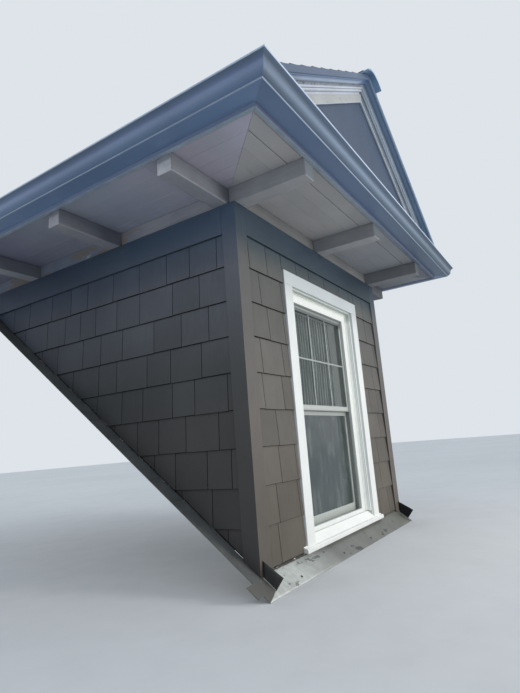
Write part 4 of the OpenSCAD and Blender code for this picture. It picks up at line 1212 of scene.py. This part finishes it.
# %% Timber and plaster
def cut_wall(name):
    """Plaster on upright faces and sawn wood on cut faces, told apart by the surface's own direction."""
    tree = finish(name, INSIDE_TONES, PLASTER).node_tree
    tint = tree.nodes["Principled BSDF"].inputs["Base Color"]
    where = add(tree, "ShaderNodeTexCoord").outputs
    split = add(tree, "ShaderNodeSeparateXYZ", {0: where["Normal"]}).outputs
    level = between(tree, arithmetic(tree, "ABSOLUTE", split["Z"]), 0.3, 0.32)
    wood = ramp(tree, patches(tree, where["Object"], 40.0, stretch=(1, 0.2, 1)),
                [(150, 120, 86), (176, 145, 106), (196, 166, 128)])
    tree.links.new(blend_colours(tree, level, tint.links[0].from_socket, wood), tint)


cut_wall("wall_section")
for coat, solids in (
        ("wall_section", ("front_wall_left", "front_wall_right", "front_wall_head", "cheek_wall_left",
                          "cheek_wall_right")),
        ("plaster", ("ceiling",)), ("sawn_timber", ("bottom_plate", "rafters")),
        ("weathered_deck", ("roof_deck_left", "roof_deck_right")), ("upright_timber", ("ridge_board",))):
    for solid in solids:
        paint(SOLIDS[solid], coat)
print("solids kept:", len([n for n, o in SOLIDS.items() if not o.hide_render]))

# %% [markdown]
# ## Floor and light
# A plain pale floor at the object's lowest point and soft light from all round, a little stronger from the front, as
# under a bright overcast sky. The Light Path node shows a paler background to the camera than the one that lights
# the object, so the background is bright while the paint keeps its written colour.

# %% Floor
floor_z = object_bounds()[0].z - 0.001
floor_shape = bmesh.new()
bmesh.ops.create_grid(floor_shape, x_segments=8, y_segments=8, size=40.0)
floor_mesh = as_mesh(floor_shape, "floor")
floor_mesh.transform(Matrix.Translation((0, 0, floor_z)))
floor = bpy.data.objects.new("floor", floor_mesh)
scene.collection.objects.link(floor)
built("floor_finish", [(206, 208, 211), (212, 214, 217), (216, 218, 221)], 0.3, 6.0, (0.85, 0.95), 0.0, specular=0.1)
paint(floor, "floor_finish")
print("floor at", round(floor_z, 4))

# %% Light
SKY_STRENGTH, SKY_SEEN = 0.85, 1.0
world = bpy.data.worlds.new("overcast")
scene.world = world
world.use_nodes = True
sky = world.node_tree
sky.nodes.clear()
lighting = add(sky, "ShaderNodeBackground", {"Color": (0.87, 0.94, 1.0, 1.0), "Strength": SKY_STRENGTH})
seen = add(sky, "ShaderNodeBackground", {"Color": colour(222, 228, 233), "Strength": SKY_SEEN})
path = add(sky, "ShaderNodeLightPath").outputs
direct = arithmetic(sky, "MAXIMUM", path["Is Camera Ray"],
                    arithmetic(sky, "MAXIMUM", path["Is Glossy Ray"], path["Is Transmission Ray"]))
either = add(sky, "ShaderNodeMixShader", {0: direct, 1: lighting.outputs[0], 2: seen.outputs[0]})
add(sky, "ShaderNodeOutputWorld", {"Surface": either.outputs[0]})

LAMP_PLACE, LAMP_TARGET = Vector((0.5, -6.0, 1.7)), Vector((0.2, 0.0, 1.0))
softbox = bpy.data.lights.new("front_softbox", "AREA")
softbox.shape = "DISK"
softbox.size = 1.9
softbox.energy = 67
softbox.spread = math.radians(92)
softbox.color = (1.0, 0.95, 0.88)
lamp = bpy.data.objects.new("front_softbox", softbox)
lamp.location = LAMP_PLACE
lamp.rotation_euler = (LAMP_TARGET - LAMP_PLACE).to_track_quat("-Z", "Y").to_euler()
scene.collection.objects.link(lamp)
scene.view_settings.view_transform = "Standard"
print("lamps:", len(bpy.data.lights))
